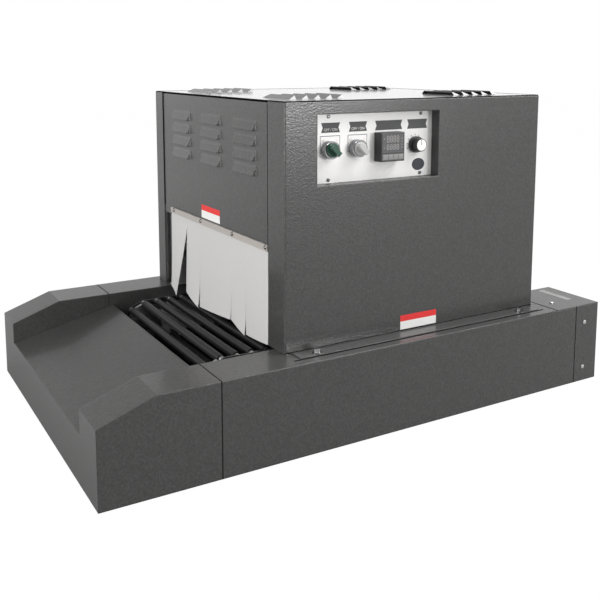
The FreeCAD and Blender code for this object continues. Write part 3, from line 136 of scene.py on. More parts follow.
def relief_group(grain: Grain) -> bpy.types.NodeTree:
    """Make or find the group that turns object coordinates into a relief height and a shade.

    Args:
        grain: Kind of relief.

    Returns:
        A group with the input Scale and the outputs Height and Shade.
    """
    name = "relief_" + grain.value
    if name in bpy.data.node_groups:
        return bpy.data.node_groups[name]
    number = "NodeSocketFloat"
    tree = new_group(name, {"Scale": (number, GRAIN_SCALE)}, {"Height": number, "Shade": number})
    nodes, links = tree.nodes, tree.links
    place = nodes.new("ShaderNodeTexCoord")
    stretch = nodes.new("ShaderNodeMapping")
    links.new(place.outputs["Object"], stretch.inputs["Vector"])
    if grain is Grain.HAMMERED:
        cells = nodes.new("ShaderNodeTexVoronoi")
        cells.feature = "SMOOTH_F1"
        height = cells.outputs["Distance"]
    elif grain is Grain.WOVEN:
        cells = nodes.new("ShaderNodeTexWave")
        cells.inputs["Distortion"].default_value = WEAVE_DISTORTION
        height = cells.outputs["Fac"]
    else:
        cells = nodes.new("ShaderNodeTexNoise")
        if grain is Grain.BRUSHED:
            stretch.inputs["Scale"].default_value = BRUSH_STRETCH
        height = cells.outputs["Fac"]
    links.new(stretch.outputs["Vector"], cells.inputs["Vector"])
    links.new(nodes["in"].outputs["Scale"], cells.inputs["Scale"])
    shade = cells
    if grain is not Grain.HAMMERED:
        shade = nodes.new("ShaderNodeTexNoise")
        shade.inputs["Detail"].default_value = DRIFT_DETAIL
        shade.inputs["Scale"].default_value = DRIFT_SCALE
        links.new(place.outputs["Object"], shade.inputs["Vector"])
    links.new(height, nodes["out"].inputs["Height"])
    links.new(shade.outputs["Color"], nodes["out"].inputs["Shade"])
    return tree


def tone_group() -> bpy.types.NodeTree:
    """Make or find the group that lets a colour drift a little between darker and lighter.

    Returns:
        A group with the inputs Color, Shade and Drift and the output Color.
    """
    name = "tone_drift"
    if name in bpy.data.node_groups:
        return bpy.data.node_groups[name]
    number, color = "NodeSocketFloat", "NodeSocketColor"
    inputs = {
        "Color": (color, (MIDDLE_SHADE, MIDDLE_SHADE, MIDDLE_SHADE, 1.0)),
        "Shade": (number, MIDDLE_SHADE),
        "Drift": (number, DRIFT),
    }
    tree = new_group(name, inputs, {"Color": color})
    nodes, links = tree.nodes, tree.links
    centred = nodes.new("ShaderNodeMath")
    centred.operation = "SUBTRACT"
    centred.inputs[1].default_value = MIDDLE_SHADE
    scaled = nodes.new("ShaderNodeMath")
    scaled.operation = "MULTIPLY_ADD"
    scaled.inputs[2].default_value = 1.0
    mix = nodes.new("ShaderNodeVectorMath")
    mix.operation = "SCALE"
    links.new(nodes["in"].outputs["Shade"], centred.inputs[0])
    links.new(centred.outputs[0], scaled.inputs[0])
    links.new(nodes["in"].outputs["Drift"], scaled.inputs[1])
    links.new(nodes["in"].outputs["Color"], mix.inputs[0])
    links.new(scaled.outputs[0], mix.inputs["Scale"])
    links.new(mix.outputs["Vector"], nodes["out"].inputs["Color"])
    return tree


@dataclass(frozen=True)
class Finish:
    """One material of the machine.

    The shine is the specular level, the drift is how far the colour wanders, the grain's depth is in
    millimetres and the edge is the radius of rounded corners, in millimetres.
    """

    name: str
    color: Color
    roughness: float
    metallic: float = 0.0
    shine: float = 0.5
    coat: float = 0.0
    grain: Grain = Grain.PLAIN
    grain_scale: float = GRAIN_SCALE
    grain_depth: float = 0.0
    drift: float = 0.08
    edge_mm: float = 0.0

    def material(self) -> bpy.types.Material:
        """Make the material, or find it if it has been made.

        Returns:
            The material.
        """
        found = bpy.data.materials.get(self.name)
        if found is not None:
            return found
        made = bpy.data.materials.new(self.name)
        made.use_nodes = True
        nodes, links = made.node_tree.nodes, made.node_tree.links
        surface = nodes["Principled BSDF"]
        surface.inputs["Roughness"].default_value = self.roughness
        surface.inputs["Metallic"].default_value = self.metallic
        surface.inputs["Specular IOR Level"].default_value = self.shine
        surface.inputs["Coat Weight"].default_value = self.coat
        surface.inputs["Coat Roughness"].default_value = COAT_ROUGHNESS
        relief = nodes.new("ShaderNodeGroup")
        relief.node_tree = relief_group(self.grain)
        relief.inputs["Scale"].default_value = self.grain_scale
        tone = nodes.new("ShaderNodeGroup")
        tone.node_tree = tone_group()
        tone.inputs["Color"].default_value = (*self.color, 1.0)
        tone.inputs["Drift"].default_value = self.drift
        links.new(relief.outputs["Shade"], tone.inputs["Shade"])
        links.new(tone.outputs["Color"], surface.inputs["Base Color"])
        bump = nodes.new("ShaderNodeBump")
        bump.inputs["Strength"].default_value = 1.0 if self.grain_depth else 0.0
        bump.inputs["Distance"].default_value = self.grain_depth * MM
        links.new(relief.outputs["Height"], bump.inputs["Height"])
        if self.edge_mm:
            edge = nodes.new("ShaderNodeBevel")
            edge.samples = BEVEL_SAMPLES
            edge.inputs["Radius"].default_value = self.edge_mm * MM
            links.new(edge.outputs["Normal"], bump.inputs["Normal"])
        links.new(bump.outputs["Normal"], surface.inputs["Normal"])
        made.diffuse_color = (*self.color, 1.0)
        return made


PAINT = Finish("hammertone_paint", (0.047, 0.047, 0.046), 0.3, coat=0.25, grain=Grain.HAMMERED,
               grain_scale=400.0, grain_depth=0.22, drift=0.7, edge_mm=3.0)
# The casing's hammertone painted lighter on the flat lid: painted sheen for the light its top catches
LID_SHEEN_PAINT = Finish("lid_paint_with_painted_sheen", (0.09, 0.09, 0.089), 0.32, coat=0.75, grain=Grain.HAMMERED, grain_scale=400.0,
             grain_depth=0.05, drift=0.5)
SHEET = Finish("bare_sheet", (0.62, 0.62, 0.6), 0.36, metallic=1.0, grain=Grain.BRUSHED, grain_depth=0.02)
STEEL = Finish("machined_steel", (0.6, 0.6, 0.6), 0.28, metallic=1.0, grain=Grain.BRUSHED, grain_depth=0.02,
               edge_mm=0.3)
CHROME = Finish("bright_chrome", (0.3, 0.3, 0.31), 0.18, metallic=1.0, edge_mm=0.5)
BLACKED = Finish("blackened_steel", (0.16, 0.16, 0.16), 0.2, metallic=1.0, edge_mm=0.6)
CASTING = Finish("painted_casting", (0.2, 0.21, 0.22), 0.5, grain=Grain.HAMMERED, grain_scale=700.0,
                 grain_depth=0.1)
RUBBER = Finish("black_rubber", (0.02, 0.02, 0.02), 0.75)
# Near-black paint laid in the casing's seams and gaps as painted shade
SEAM_SHADE = Finish("joint_shadow", (0.008, 0.008, 0.008), 0.9, shine=0.1)
SLEEVE = Finish("black_sleeve", (0.02, 0.02, 0.02), 0.3, shine=0.15)
OILED = Finish("oiled_steel", (0.2, 0.2, 0.2), 0.3, metallic=1.0)
SCALED = Finish("heat_dulled_sheet", (0.42, 0.42, 0.42), 0.55)
BAR = Finish("bar_alloy", (0.44, 0.41, 0.38), 0.5, metallic=0.3)
BOARD = Finish("pressed_mineral", (0.62, 0.57, 0.46), 0.9)
SILVER = Finish("silver_plate", (0.77, 0.765, 0.755), 0.38, metallic=0.15, grain=Grain.BRUSHED,
                grain_depth=0.01)
SATIN_BLACK = Finish("satin_black", (0.03, 0.03, 0.03), 0.4, edge_mm=0.6)
MOULDED = Finish("moulded_black", (0.022, 0.022, 0.023), 0.45, edge_mm=0.5)
SMOKED = Finish("smoked_window", (0.09, 0.092, 0.095), 0.2, coat=0.6)
GREEN = Finish("green_lever", (0.002, 0.06, 0.03), 0.2, coat=0.8, edge_mm=0.8)
MILKY = Finish("milky_lever", (0.5, 0.5, 0.49), 0.2, coat=0.8, edge_mm=0.8)
KEY_GREY = Finish("keypad_grey", (0.23, 0.23, 0.227), 0.6)
RESIST = Finish("solder_resist", (0.03, 0.16, 0.07), 0.5)
CLOTH = Finish("coated_cloth", (0.54, 0.535, 0.525), 0.7, grain=Grain.WOVEN, grain_scale=900.0,
               grain_depth=0.02, drift=0.06)
WHITE = Finish("print_white", (0.8, 0.8, 0.78), 0.5)
RED = Finish("print_red", (0.72, 0.022, 0.022), 0.45)
NAVY = Finish("print_navy", (0.004, 0.005, 0.016), 0.45)
INK = Finish("print_ink", (0.06, 0.06, 0.063), 0.55)
GREY_INK = Finish("print_grey", (0.33, 0.31, 0.3), 0.55)

NODE_FINISHES: dict[Finish, list[str]] = {
    PAINT: ["infeed_casing", "infeed_ramp", "front_side_cover", "rear_side_cover", "outfeed_end_cap",
            "drive_cover", "hood_front_cover", "hood_rear_cover", "infeed_end_panel", "outfeed_end_panel"],
    LID_SHEEN_PAINT: ["top_cover"],
    SHEET: ["base_pan", "plenum_shell"],
    SCALED: ["tunnel_liner", "chain_rails"],
    BAR: ["curtain_bars"],
    OILED: ["chain_links"],
    STEEL: ["drive_shaft", "idler_shaft", "drive_sprockets", "idler_sprockets", "thermocouple", "speed_shaft",
            "heater_elements", "blower_impeller"],
    CHROME: ["power_selector_body", "heater_selector_body"],
    BLACKED: ["hood_bolts"],
    CASTING: ["flange_bearings", "gear_motor", "blower_motor"],
    RUBBER: ["rubber_feet"],
    SLEEVE: ["conveyor_rollers"],
    BOARD: ["insulation_boards"],
    SILVER: ["control_panel"],
    SATIN_BLACK: ["panel_frame"],
    MOULDED: ["controller_case", "speed_knob", "speed_potentiometer", "heater_relay", "mains_inlet"],
    SMOKED: ["controller_lens"],
    GREEN: ["power_selector_knob"],
    MILKY: ["heater_selector_knob"],
    KEY_GREY: ["controller_key_1", "controller_key_2", "controller_key_3", "controller_key_4"],
    RESIST: ["speed_board"],
}


# Meshes


def add_mesh(
    name: str, mesh: bmesh.types.BMesh, finish: Finish, body: str, smooth: bool = False
) -> bpy.types.Object:
    """Turn a finished bmesh into a piece that rides on a body.

    Args:
        name: Name of the piece.
        mesh: Geometry in the frame's axes, in metres; it is freed.
        finish: Material of the piece.
        body: CAD body that carries it, or an empty text where the caller settles that.
        smooth: Whether its faces are shaded round.

    Returns:
        The new object.
    """
    data = bpy.data.meshes.new(name)
    bmesh.ops.recalc_face_normals(mesh, faces=mesh.faces)
    mesh.to_mesh(data)
    mesh.free()
    for polygon in data.polygons:
        polygon.use_smooth = smooth
    data.materials.append(finish.material())
    piece = bpy.data.objects.new(name, data)
    bpy.context.scene.collection.objects.link(piece)
    if body:
        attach(piece, body)
    log.info("piece %s", name)
    return piece


def box_mesh(low: Point, high: Point, mesh: bmesh.types.BMesh | None = None) -> bmesh.types.BMesh:
    """A box between two corners.

    Args:
        low: Lowest corner.
        high: Highest corner.
        mesh: Geometry to add it to, or none for a new one.

    Returns:
        The geometry with the box.
    """
    mesh = mesh or bmesh.new()
    middle = [(a + b) / 2 for a, b in zip(low, high)]
    size = [b - a for a, b in zip(low, high)]
    turn = Matrix.Translation(middle) @ Matrix.Diagonal((*size, 1.0))
    bmesh.ops.create_cube(mesh, size=1.0, matrix=turn)
    return mesh


def rod_mesh(
    start: Vector, end: Vector, radius: float, sides: int, top: float | None = None,
    mesh: bmesh.types.BMesh | None = None,
) -> bmesh.types.BMesh:
    """A round bar or cone between two points.

    Args:
        start: Middle of the first end.
        end: Middle of the other end.
        radius: Radius at the start.
        sides: Number of sides.
        top: Radius at the end, where it differs.
        mesh: Geometry to add it to, or none for a new one.

    Returns:
        The geometry with the bar.
    """
    mesh = mesh or bmesh.new()
    along = end - start
    turn = Matrix.Translation((start + end) / 2) @ along.to_track_quat("Z", "Y").to_matrix().to_4x4()
    bmesh.ops.create_cone(mesh, cap_ends=True, segments=sides, radius1=radius,
                          radius2=radius if top is None else top, depth=along.length, matrix=turn)
    return mesh


def screw_mesh(
    at: Vector, out: Vector, radius: float, mesh: bmesh.types.BMesh | None = None
) -> bmesh.types.BMesh:
    """A low pan head standing on a face.

    Args:
        at: Point on the face.
        out: The face's outward normal.
        radius: Radius of the head.
        mesh: Geometry to add it to, or none for a new one.

    Returns:
        The geometry with the head.
    """
    rise = radius * SCREW_RISE
    shoulder = at + out * rise * SCREW_SHOULDER
    mesh = rod_mesh(at, shoulder, radius, SCREW_SIDES, mesh=mesh)
    return rod_mesh(shoulder, at + out * rise, radius, SCREW_SIDES, top=radius * SCREW_TOP, mesh=mesh)


def words(name: str, text: str, at: Vector, height: float, finish: Finish, body: str) -> bpy.types.Object:
    """Flat lettering on a face that looks along -Y.

    Args:
        name: Name of the piece.
        text: What it reads.
        at: Middle of the lettering.
        height: Letter size, in metres.
        finish: Ink.
        body: Body that carries it.

    Returns:
        The lettering as a mesh.
    """
    curve = bpy.data.curves.new(name + "_line", "FONT")
    curve.body = text
    curve.size = height
    curve.align_x = "CENTER"
    curve.align_y = "CENTER"
    curve.extrude = PRINT_EDGE
    source = bpy.data.objects.new(name + "_line", curve)
    bpy.context.scene.collection.objects.link(source)
    bpy.context.view_layer.update()
    data = bpy.data.meshes.new_from_object(source.evaluated_get(bpy.context.evaluated_depsgraph_get()))
    bpy.data.objects.remove(source)
    data.transform(Matrix.Translation(at) @ Matrix.Rotation(math.pi / 2, 4, "X"))
    mesh = bmesh.new()
    mesh.from_mesh(data)
    return add_mesh(name, mesh, finish, body)


# Sub-assemblies


@dataclass
class Conveyor:
    """Round rollers in place of the frame's faceted ones."""

    pitch: float = 27.5 * MM
    diameter: float = 14.0 * MM
    half_turn_pitches: int = 4
    sides: int = 24
    rivet_radius: float = 2.6 * MM
    bare_end: float = 9.0 * MM
    core_radius: float = 5.0 * MM
    pins: list[tuple[float, float]] = field(default_factory=list)

    def places(self) -> list[tuple[float, float]]:
        """Work out from the frame's box where the rollers are.

        Returns:
            The centre (x, z) of each roller.
        """
        low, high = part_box("conveyor_rollers")
        wheel = self.pitch / (2 * math.sin(math.pi / (2 * self.half_turn_pitches)))
        middle = (low.z + high.z) / 2
        span = (high.x - low.x) - 2 * (wheel + self.diameter / 2)
        count = round(span / self.pitch)
        x_in = (low.x + high.x - count * self.pitch) / 2
        x_out = x_in + count * self.pitch
        runs = [(x_in + i * self.pitch, middle + wheel) for i in range(count)]
        runs += [(x_out - i * self.pitch, middle - wheel) for i in range(count)]
        step = math.pi / self.half_turn_pitches
        for x, start in ((x_out, math.pi / 2), (x_in, -math.pi / 2)):
            for i in range(self.half_turn_pitches):
                angle = start - i * step
                runs.append((x + wheel * math.cos(angle), middle + wheel * math.sin(angle)))
        return runs

    def build(self) -> None:
        """Add the rollers' sleeves and bare ends, and the rivets of the chains."""
        low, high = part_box("conveyor_rollers")
        sleeves, cores = bmesh.new(), bmesh.new()
        self.pins = self.places()
        y0, y1 = low.y + self.bare_end, high.y - self.bare_end
        for x, z in self.pins:
            rod_mesh(Vector((x, y0, z)), Vector((x, y1, z)), self.diameter / 2, self.sides, mesh=sleeves)
            for start, end in ((low.y, y0), (y1, high.y)):
                rod_mesh(Vector((x, start, z)), Vector((x, end, z)), self.core_radius, self.sides, mesh=cores)
        for name, mesh, finish in (("sleeved_rollers", sleeves, SLEEVE), ("roller_ends", cores, STEEL)):
            piece = add_mesh(name, mesh, finish, ROOT, smooth=True)
            piece.modifiers.new("sharp_ends", "EDGE_SPLIT")
            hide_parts("conveyor_rollers")
        self.rivets()

    def rivets(self) -> None:
        """Add the riveted pin ends outside both chains."""
        low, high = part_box("chain_links")
        mesh = bmesh.new()
        for x, z in self.pins:
            for y, way in ((low.y, -1), (high.y, 1)):
                screw_mesh(Vector((x, y, z)), Vector((0, way, 0)), self.rivet_radius, mesh)
        piece = add_mesh("chain_rivets", mesh, CHROME, ROOT)


@dataclass(frozen=True)
class Hang:
    """How one strip of a curtain hangs, in millimetres.

    The edges stand out from the header's plane at the foot, and the feet are the heights of the
    foot's rear and front corners over the rollers. The set is the power of the fall that each edge
    follows: 1 leans out evenly and more bends out near the foot.
    """

    rear_edge: float
    front_edge: float
    belly: float
    rear_foot: float
    front_foot: float
    rear_set: float = 3.0
    front_set: float = 3.0

    def depth(self, across: float, fall: float) -> float:
        """How far out a point of the strip lies.

        Args:
            across: Share of the width, from the rear edge.
            fall: Share of the length, down from the hinge.

        Returns:
            The distance from the header's plane, in millimetres.
        """
        rear = self.rear_edge * fall ** self.rear_set
        front = self.front_edge * fall ** self.front_set
        return rear + (front - rear) * across + self.belly * 4 * across * (1 - across) * fall

    def foot(self, across: float) -> float:
        """Height of the foot over the rollers, for a share across from the rear edge."""
        return self.rear_foot + (self.front_foot - self.rear_foot) * across


INFEED_HANGS = [
    Hang(4.0, 27.0, -1.5, 13.0, 15.0, 1.5, 1.05),
    Hang(5.0, 6.0, 1.0, 20.0, 3.0, 0.7, 5.0),
    Hang(2.0, 2.5, 2.0, 4.0, 16.0, 6.0, 6.0),
    Hang(0.5, 4.0, 1.0, 16.0, 4.0, 6.0, 6.0),
    Hang(0.5, 1.0, 1.5, 5.0, 11.0, 6.0),
]
OUTFEED_HANGS = [
    Hang(1.0, 2.0, 0.6, 12.0, 12.0),
    Hang(2.0, 3.0, 0.6, 12.0, 12.0),
    Hang(3.0, 2.0, 0.6, 12.0, 12.0),
    Hang(2.0, 3.0, 0.6, 12.0, 12.0),
    Hang(3.0, 2.0, 0.6, 12.0, 12.0),
]


@dataclass
class Curtain:
    """Hanging strips of one end of the tunnel."""

    end: End
    hangs: list[Hang]
    cloth: float = 1.0 * MM
    header_sunk: float = 0.6 * MM
    closing: float = 0.68 * MM
    columns: int = 16
    rows: int = 30
    bend: float = 16.0 * MM

    def surface(self, name: str, grid: list[list[Vector]], body: str) -> bpy.types.Object:
        """A thin sheet through a grid of points.

        Args:
            name: Name of the piece.
            grid: Rows of points, from the top down.
            body: Body that carries it, or an empty text.

        Returns:
            The sheet.
        """
        mesh = bmesh.new()
        points = [[mesh.verts.new(p) for p in row] for row in grid]
        for upper, lower in zip(points, points[1:]):
            for i in range(len(upper) - 1):
                mesh.faces.new((upper[i], upper[i + 1], lower[i + 1], lower[i]))
        piece = add_mesh(name, mesh, CLOTH, body, smooth=True)
        thick = piece.modifiers.new("cloth", "SOLIDIFY")
        thick.thickness = self.cloth
        thick.offset = 0.0
        piece.modifiers.new("cut_edges", "EDGE_SPLIT")
        return piece

    def build(self) -> None:
        """Add the header band and its five strips."""
        low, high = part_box("curtain_headers")
        out = self.end.value
        face = low.x if out < 0 else high.x
        x = face - out * self.header_sunk
        grid = [[Vector((x, low.y + (high.y - low.y) * i / self.columns, z)) for i in range(self.columns + 1)]
                for z in (high.z, low.z)]
        header = self.surface(self.end.label + "_header", grid, ROOT)
        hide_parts("curtain_headers")
        for number, hang in enumerate(self.hangs, 1):
            self.strip(str(number), hang, x, low.z)

    def strip(self, number: str, hang: Hang, x: float, hinge: float) -> None:
        """Add one strip, flat at the header and curled towards its foot.

        Args:
            number: Place of the strip, counted from the rear.
            hang: How the strip hangs.
            x: Plane of the header.
            hinge: Height of the header's lower edge.
        """
        node = self.end.label + "_strip_" + number
        low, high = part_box(node)
        rear, front = high.y + self.closing, low.y - self.closing
        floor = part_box("conveyor_rollers")[1].z
        grid = []
        for j in range(self.rows + 1):
            fall = j / self.rows
            row = []
            for i in range(self.columns + 1):
                across = i / self.columns
                out = self.end.value * hang.depth(across, fall) * MM
                drop = (hinge - floor - hang.foot(across) * MM) * fall
                row.append(Vector((x + out, rear + (front - rear) * across, hinge - drop)))
            grid.append(row)
        body = self.end.label + "_curtain_" + number
        piece = self.surface(self.end.label + "_cloth_" + number, grid, "")
        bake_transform(piece)
        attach(piece, body)
        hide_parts(node)


@dataclass
class Panel:
    """Legends, marks and screws of the sunk control panel.

    A banner is given as its offset to the right of the control and its length. Figures and dots of the
    display are placed by shares of the window, and a row of figures by its drop and its height.
    """

    print_thick: float = 0.15 * MM
    plate_size: tuple[float, float] = (38.0 * MM, 28.0 * MM)
    plate_offset: tuple[float, float] = (3.0 * MM, 8.0 * MM)
    plate_rim: float = 1.0 * MM
    mark_size: float = 5.5 * MM
    mark_drop: float = 8.5 * MM
    mark_layers: float = 2.4
    off_place: float = -14.0 * MM
    on_place: float = 13.0 * MM
    banner_rise: float = 35.0 * MM
    banner_height: float = 16.0 * MM
    banner_notch: float = 3.0 * MM
    switch_banner: tuple[float, float] = (4.0 * MM, 36.0 * MM)
    controller_banner: tuple[float, float] = (5.0 * MM, 56.0 * MM)
    speed_banner: tuple[float, float] = (4.0 * MM, 43.0 * MM)
    line_size: float = 6.2 * MM
    line_drop: float = 3.5 * MM
    line_layers: float = 1.4
    disc_size: tuple[float, float] = (27.0 * MM, 21.0 * MM)
    disc_offset: tuple[float, float] = (7.5 * MM, -34.5 * MM)
    disc_sides: int = 48
    tick_size: Point = (0.8 * MM, 0.2 * MM, 3.0 * MM)
    tick_reach: float = 16.6 * MM
    tick_count: int = 11
    tick_start: float = -140.0
    tick_step: float = 28.0
    cap_radius: float = 9.5 * MM
    cap_thick: float = 0.4 * MM
    cap_sides: int = 32
    pointer_half: float = 0.8 * MM
    pointer_thick: float = 0.6 * MM
    pointer_length: float = 9.0 * MM
    band_margin: float = 1.0 * MM
    figure_rows: tuple[tuple[float, float], ...] = ((0.1, 0.34), (0.58, 0.27))
    figure_count: int = 4
    figure_start: float = 0.2
    figure_step: float = 0.155
    figure_width: float = 0.11
    figure_bar: float = 0.2
    figure_thick: float = 0.1 * MM
    dot_columns: tuple[tuple[float, int], ...] = ((0.08, 2), (0.92, 4))
    dot_start: float = 0.25
    dot_span: float = 0.5
    dot_radius: float = 0.8 * MM
    dot_sides: int = 12
    screw_radius: float = 3.0 * MM
    screw_insets: tuple[float, float] = (34.0 * MM, 26.0 * MM)
    screw_margin: float = 6.5 * MM

    def face(self) -> float:
        """Y of the panel's front face."""
        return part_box("control_panel")[0].y

    def centre(self, node: str) -> Vector:
        """Middle of a control, on the panel's face."""
        low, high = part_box(node)
        return Vector(((low.x + high.x) / 2, self.face(), (low.z + high.z) / 2))

    def build(self) -> None:
        """Add all the panel's print and screws."""
        for label in ("power", "heater"):
            self.switch(label, self.centre(label + "_selector_body"))
        self.banner("controller_banner", self.centre("controller_case"), self.controller_banner)
        dial = self.centre("speed_knob")
        self.banner("speed_banner", dial, self.speed_banner)
        self.dial_marks(dial)
        self.disc(dial)
        self.knob_cap()
        self.key_strip()
        self.display()
        self.screws()

    def switch(self, label: str, at: Vector) -> None:
        """Legend plate, marks and banner of one selector switch.

        Args:
            label: Name of the switch.
            at: Middle of the switch, on the panel's face.
        """
        middle = Vector((at.x + self.plate_offset[0], at.y, at.z + self.plate_offset[1]))
        inner = (self.plate_size[0] - 2 * self.plate_rim, self.plate_size[1] - 2 * self.plate_rim)
        self.plate(label + "_legend_rim", middle, self.plate_size, INK, 1)
        self.plate(label + "_legend", middle, inner, SILVER, 2)
        self.states(label, middle)
        top = self.banner(label + "_banner", at, self.switch_banner)
        line = Vector((top.x, top.y - self.print_thick * self.line_layers, top.z - self.line_drop))
        words(label + "_states", "OFF / ON", line, self.line_size, WHITE, ROOT)

    def plate(self, name: str, middle: Vector, size: tuple[float, float], finish: Finish, layer: int) -> None:
        """A printed patch on the panel.

        Args:
            name: Name of the piece.
            middle: Middle of the patch, on the panel's face.
            size: Width and height.
            finish: Ink.
            layer: Number of print layers that the patch stands out by.
        """
        half, high = size[0] / 2, size[1] / 2
        y = middle.y - self.print_thick * layer
        mesh = box_mesh((middle.x - half, y, middle.z - high), (middle.x + half, middle.y, middle.z + high))
        add_mesh(name, mesh, finish, ROOT)

    def states(self, label: str, middle: Vector) -> None:
        """Grey O and red I in the upper corners of a legend plate.

        Args:
            label: Name of the switch.
            middle: Middle of the plate.
        """
        z = middle.z + self.plate_size[1] / 2 - self.mark_drop
        y = middle.y - self.print_thick * self.mark_layers
        for mark, x, finish in (("O", self.off_place, GREY_INK), ("I", self.on_place, RED)):
            words(label + "_mark_" + mark, mark, Vector((middle.x + x, y, z)), self.mark_size, finish, ROOT)

    def banner(self, name: str, control: Vector, form: tuple[float, float]) -> Vector:
        """A dark ribbon with notched ends over a control.

        Args:
            name: Name of the piece.
            control: Middle of the control, on the panel's face.
            form: Offset to the right of the control, and length.

        Returns:
            The middle of the ribbon.
        """
        middle = Vector((control.x + form[0], control.y, control.z + self.banner_rise))
        half, high = form[1] / 2, self.banner_height / 2
        notch = half - self.banner_notch
        corners = ((-half, -high), (half, -high), (notch, 0), (half, high), (-half, high), (-notch, 0))
        mesh = bmesh.new()
        y = middle.y - self.print_thick
        face = mesh.faces.new([mesh.verts.new((middle.x + x, y, middle.z + z)) for x, z in corners])
        back = bmesh.ops.extrude_face_region(mesh, geom=[face])["geom"]
        moved = [v for v in back if isinstance(v, bmesh.types.BMVert)]
        bmesh.ops.translate(mesh, verts=moved, vec=(0, self.print_thick, 0))
        add_mesh(name, mesh, INK, ROOT)
        return middle

    def dial_marks(self, dial: Vector) -> None:
        """Short ticks round the speed knob, apart from its foot.

        Args:
            dial: Middle of the knob, on the panel's face.
        """
        mesh = bmesh.new()
        out = Matrix.Translation((0, -self.print_thick, self.tick_reach))
        shape = out @ Matrix.Diagonal((*self.tick_size, 1))
        for i in range(self.tick_count):
            angle = math.radians(self.tick_start + self.tick_step * i)
            turn = Matrix.Translation(dial) @ Matrix.Rotation(angle, 4, "Y")
            tick = bmesh.ops.create_cube(mesh, size=1.0)["verts"]
            bmesh.ops.transform(mesh, matrix=turn @ shape, verts=tick)
        add_mesh("dial_marks", mesh, INK, ROOT)

    def disc(self, dial: Vector) -> None:
        """Bare dark oval under the speed knob.

        Args:
            dial: Middle of the knob, on the panel's face.
        """
        at = dial + Vector((self.disc_offset[0], 0, self.disc_offset[1]))
        mesh = rod_mesh(Vector(), Vector((0, -self.print_thick, 0)), UNIT_RADIUS, self.disc_sides)
        shape = Matrix.Translation(at) @ Matrix.Diagonal((self.disc_size[0], 1.0, self.disc_size[1], 1.0))
        bmesh.ops.transform(mesh, matrix=shape, verts=mesh.verts)
        add_mesh("panel_disc", mesh, NAVY, ROOT)

    def knob_cap(self) -> None:
        """Bright disc and pointer line on the speed knob."""
        low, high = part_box("speed_knob")
        middle = Vector(((low.x + high.x) / 2, low.y, (low.z + high.z) / 2))
        front = middle + Vector((0, -1, 0)) * self.cap_thick
        cap = rod_mesh(middle, front, self.cap_radius, self.cap_sides)
        add_mesh("speed_cap", cap, SHEET, "speed_dial")
        start = (middle.x - self.pointer_half, low.y - self.pointer_thick, middle.z)
        end = (middle.x + self.pointer_half, low.y, middle.z + self.pointer_length)
        add_mesh("speed_pointer", box_mesh(start, end), INK, "speed_dial")

    def key_strip(self) -> None:
        """Pale band that the controller's four keys stand in."""
        low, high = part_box("controller_key_1")[0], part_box("controller_key_4")[1]
        left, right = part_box("controller_lens")[0].x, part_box("controller_lens")[1].x
        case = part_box("controller_case")[0].y
        start = (left, case - self.print_thick, low.z - self.band_margin)
        add_mesh("key_band", box_mesh(start, (right, case, high.z + self.band_margin)), KEY_GREY, ROOT)

    def display(self) -> None:
        """Two rows of unlit figures and lamp dots on the controller's window."""
        low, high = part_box("controller_lens")
        y, thin = low.y, self.print_thick
        width, height = high.x - low.x, high.z - low.z
        mesh = bmesh.new()
        for drop, tall in self.figure_rows:
            for i in range(self.figure_count):
                x = low.x + width * (self.figure_start + self.figure_step * i)
                corner = Vector((x, y - thin, high.z - height * drop))
                self.figure(mesh, corner, width * self.figure_width, height * tall)
        add_mesh("display_figures", mesh, GREY_INK, ROOT)
        dots = bmesh.new()
        for share, count in self.dot_columns:
            for i in range(count):
                drop = self.dot_start + self.dot_span * i / (count - 1)
                at = Vector((low.x + width * share, y, high.z - height * drop))
                rod_mesh(at, at - Vector((0, thin, 0)), self.dot_radius, self.dot_sides, mesh=dots)
        add_mesh("display_dots", dots, GREY_INK, ROOT)

    def figure(self, mesh: bmesh.types.BMesh, corner: Vector, width: float, height: float) -> None:
        """A seven-bar figure.

        Args:
            mesh: Geometry to add it to.
            corner: Upper left corner.
            width: Width of the figure.
            height: Height of the figure.
        """
        bar, half, back = width * self.figure_bar, height / 2, corner.y + self.figure_thick
        left, right = corner.x + bar, corner.x + width - bar
        for step in range(3):
            z = corner.z - step * half
            box_mesh((left, corner.y, z - bar / 2), (right, back, z + bar / 2), mesh)
        for step in range(2):
            z = corner.z - step * half
            for x in (corner.x, right):
                box_mesh((x, corner.y, z - half + bar / 2), (x + bar, back, z - bar / 2), mesh)

    def screws(self) -> None:
        """Four screws near the corners of the window."""
        low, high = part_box("panel_frame")
        out = Vector((0, -1, 0))
        mesh = bmesh.new()
        for x in (low.x + self.screw_insets[0], high.x - self.screw_insets[1]):
            for z in (low.z + self.screw_margin, high.z - self.screw_margin):
                screw_mesh(Vector((x, self.face(), z)), out, self.screw_radius, mesh)
        add_mesh("panel_screws", mesh, BLACKED, ROOT)


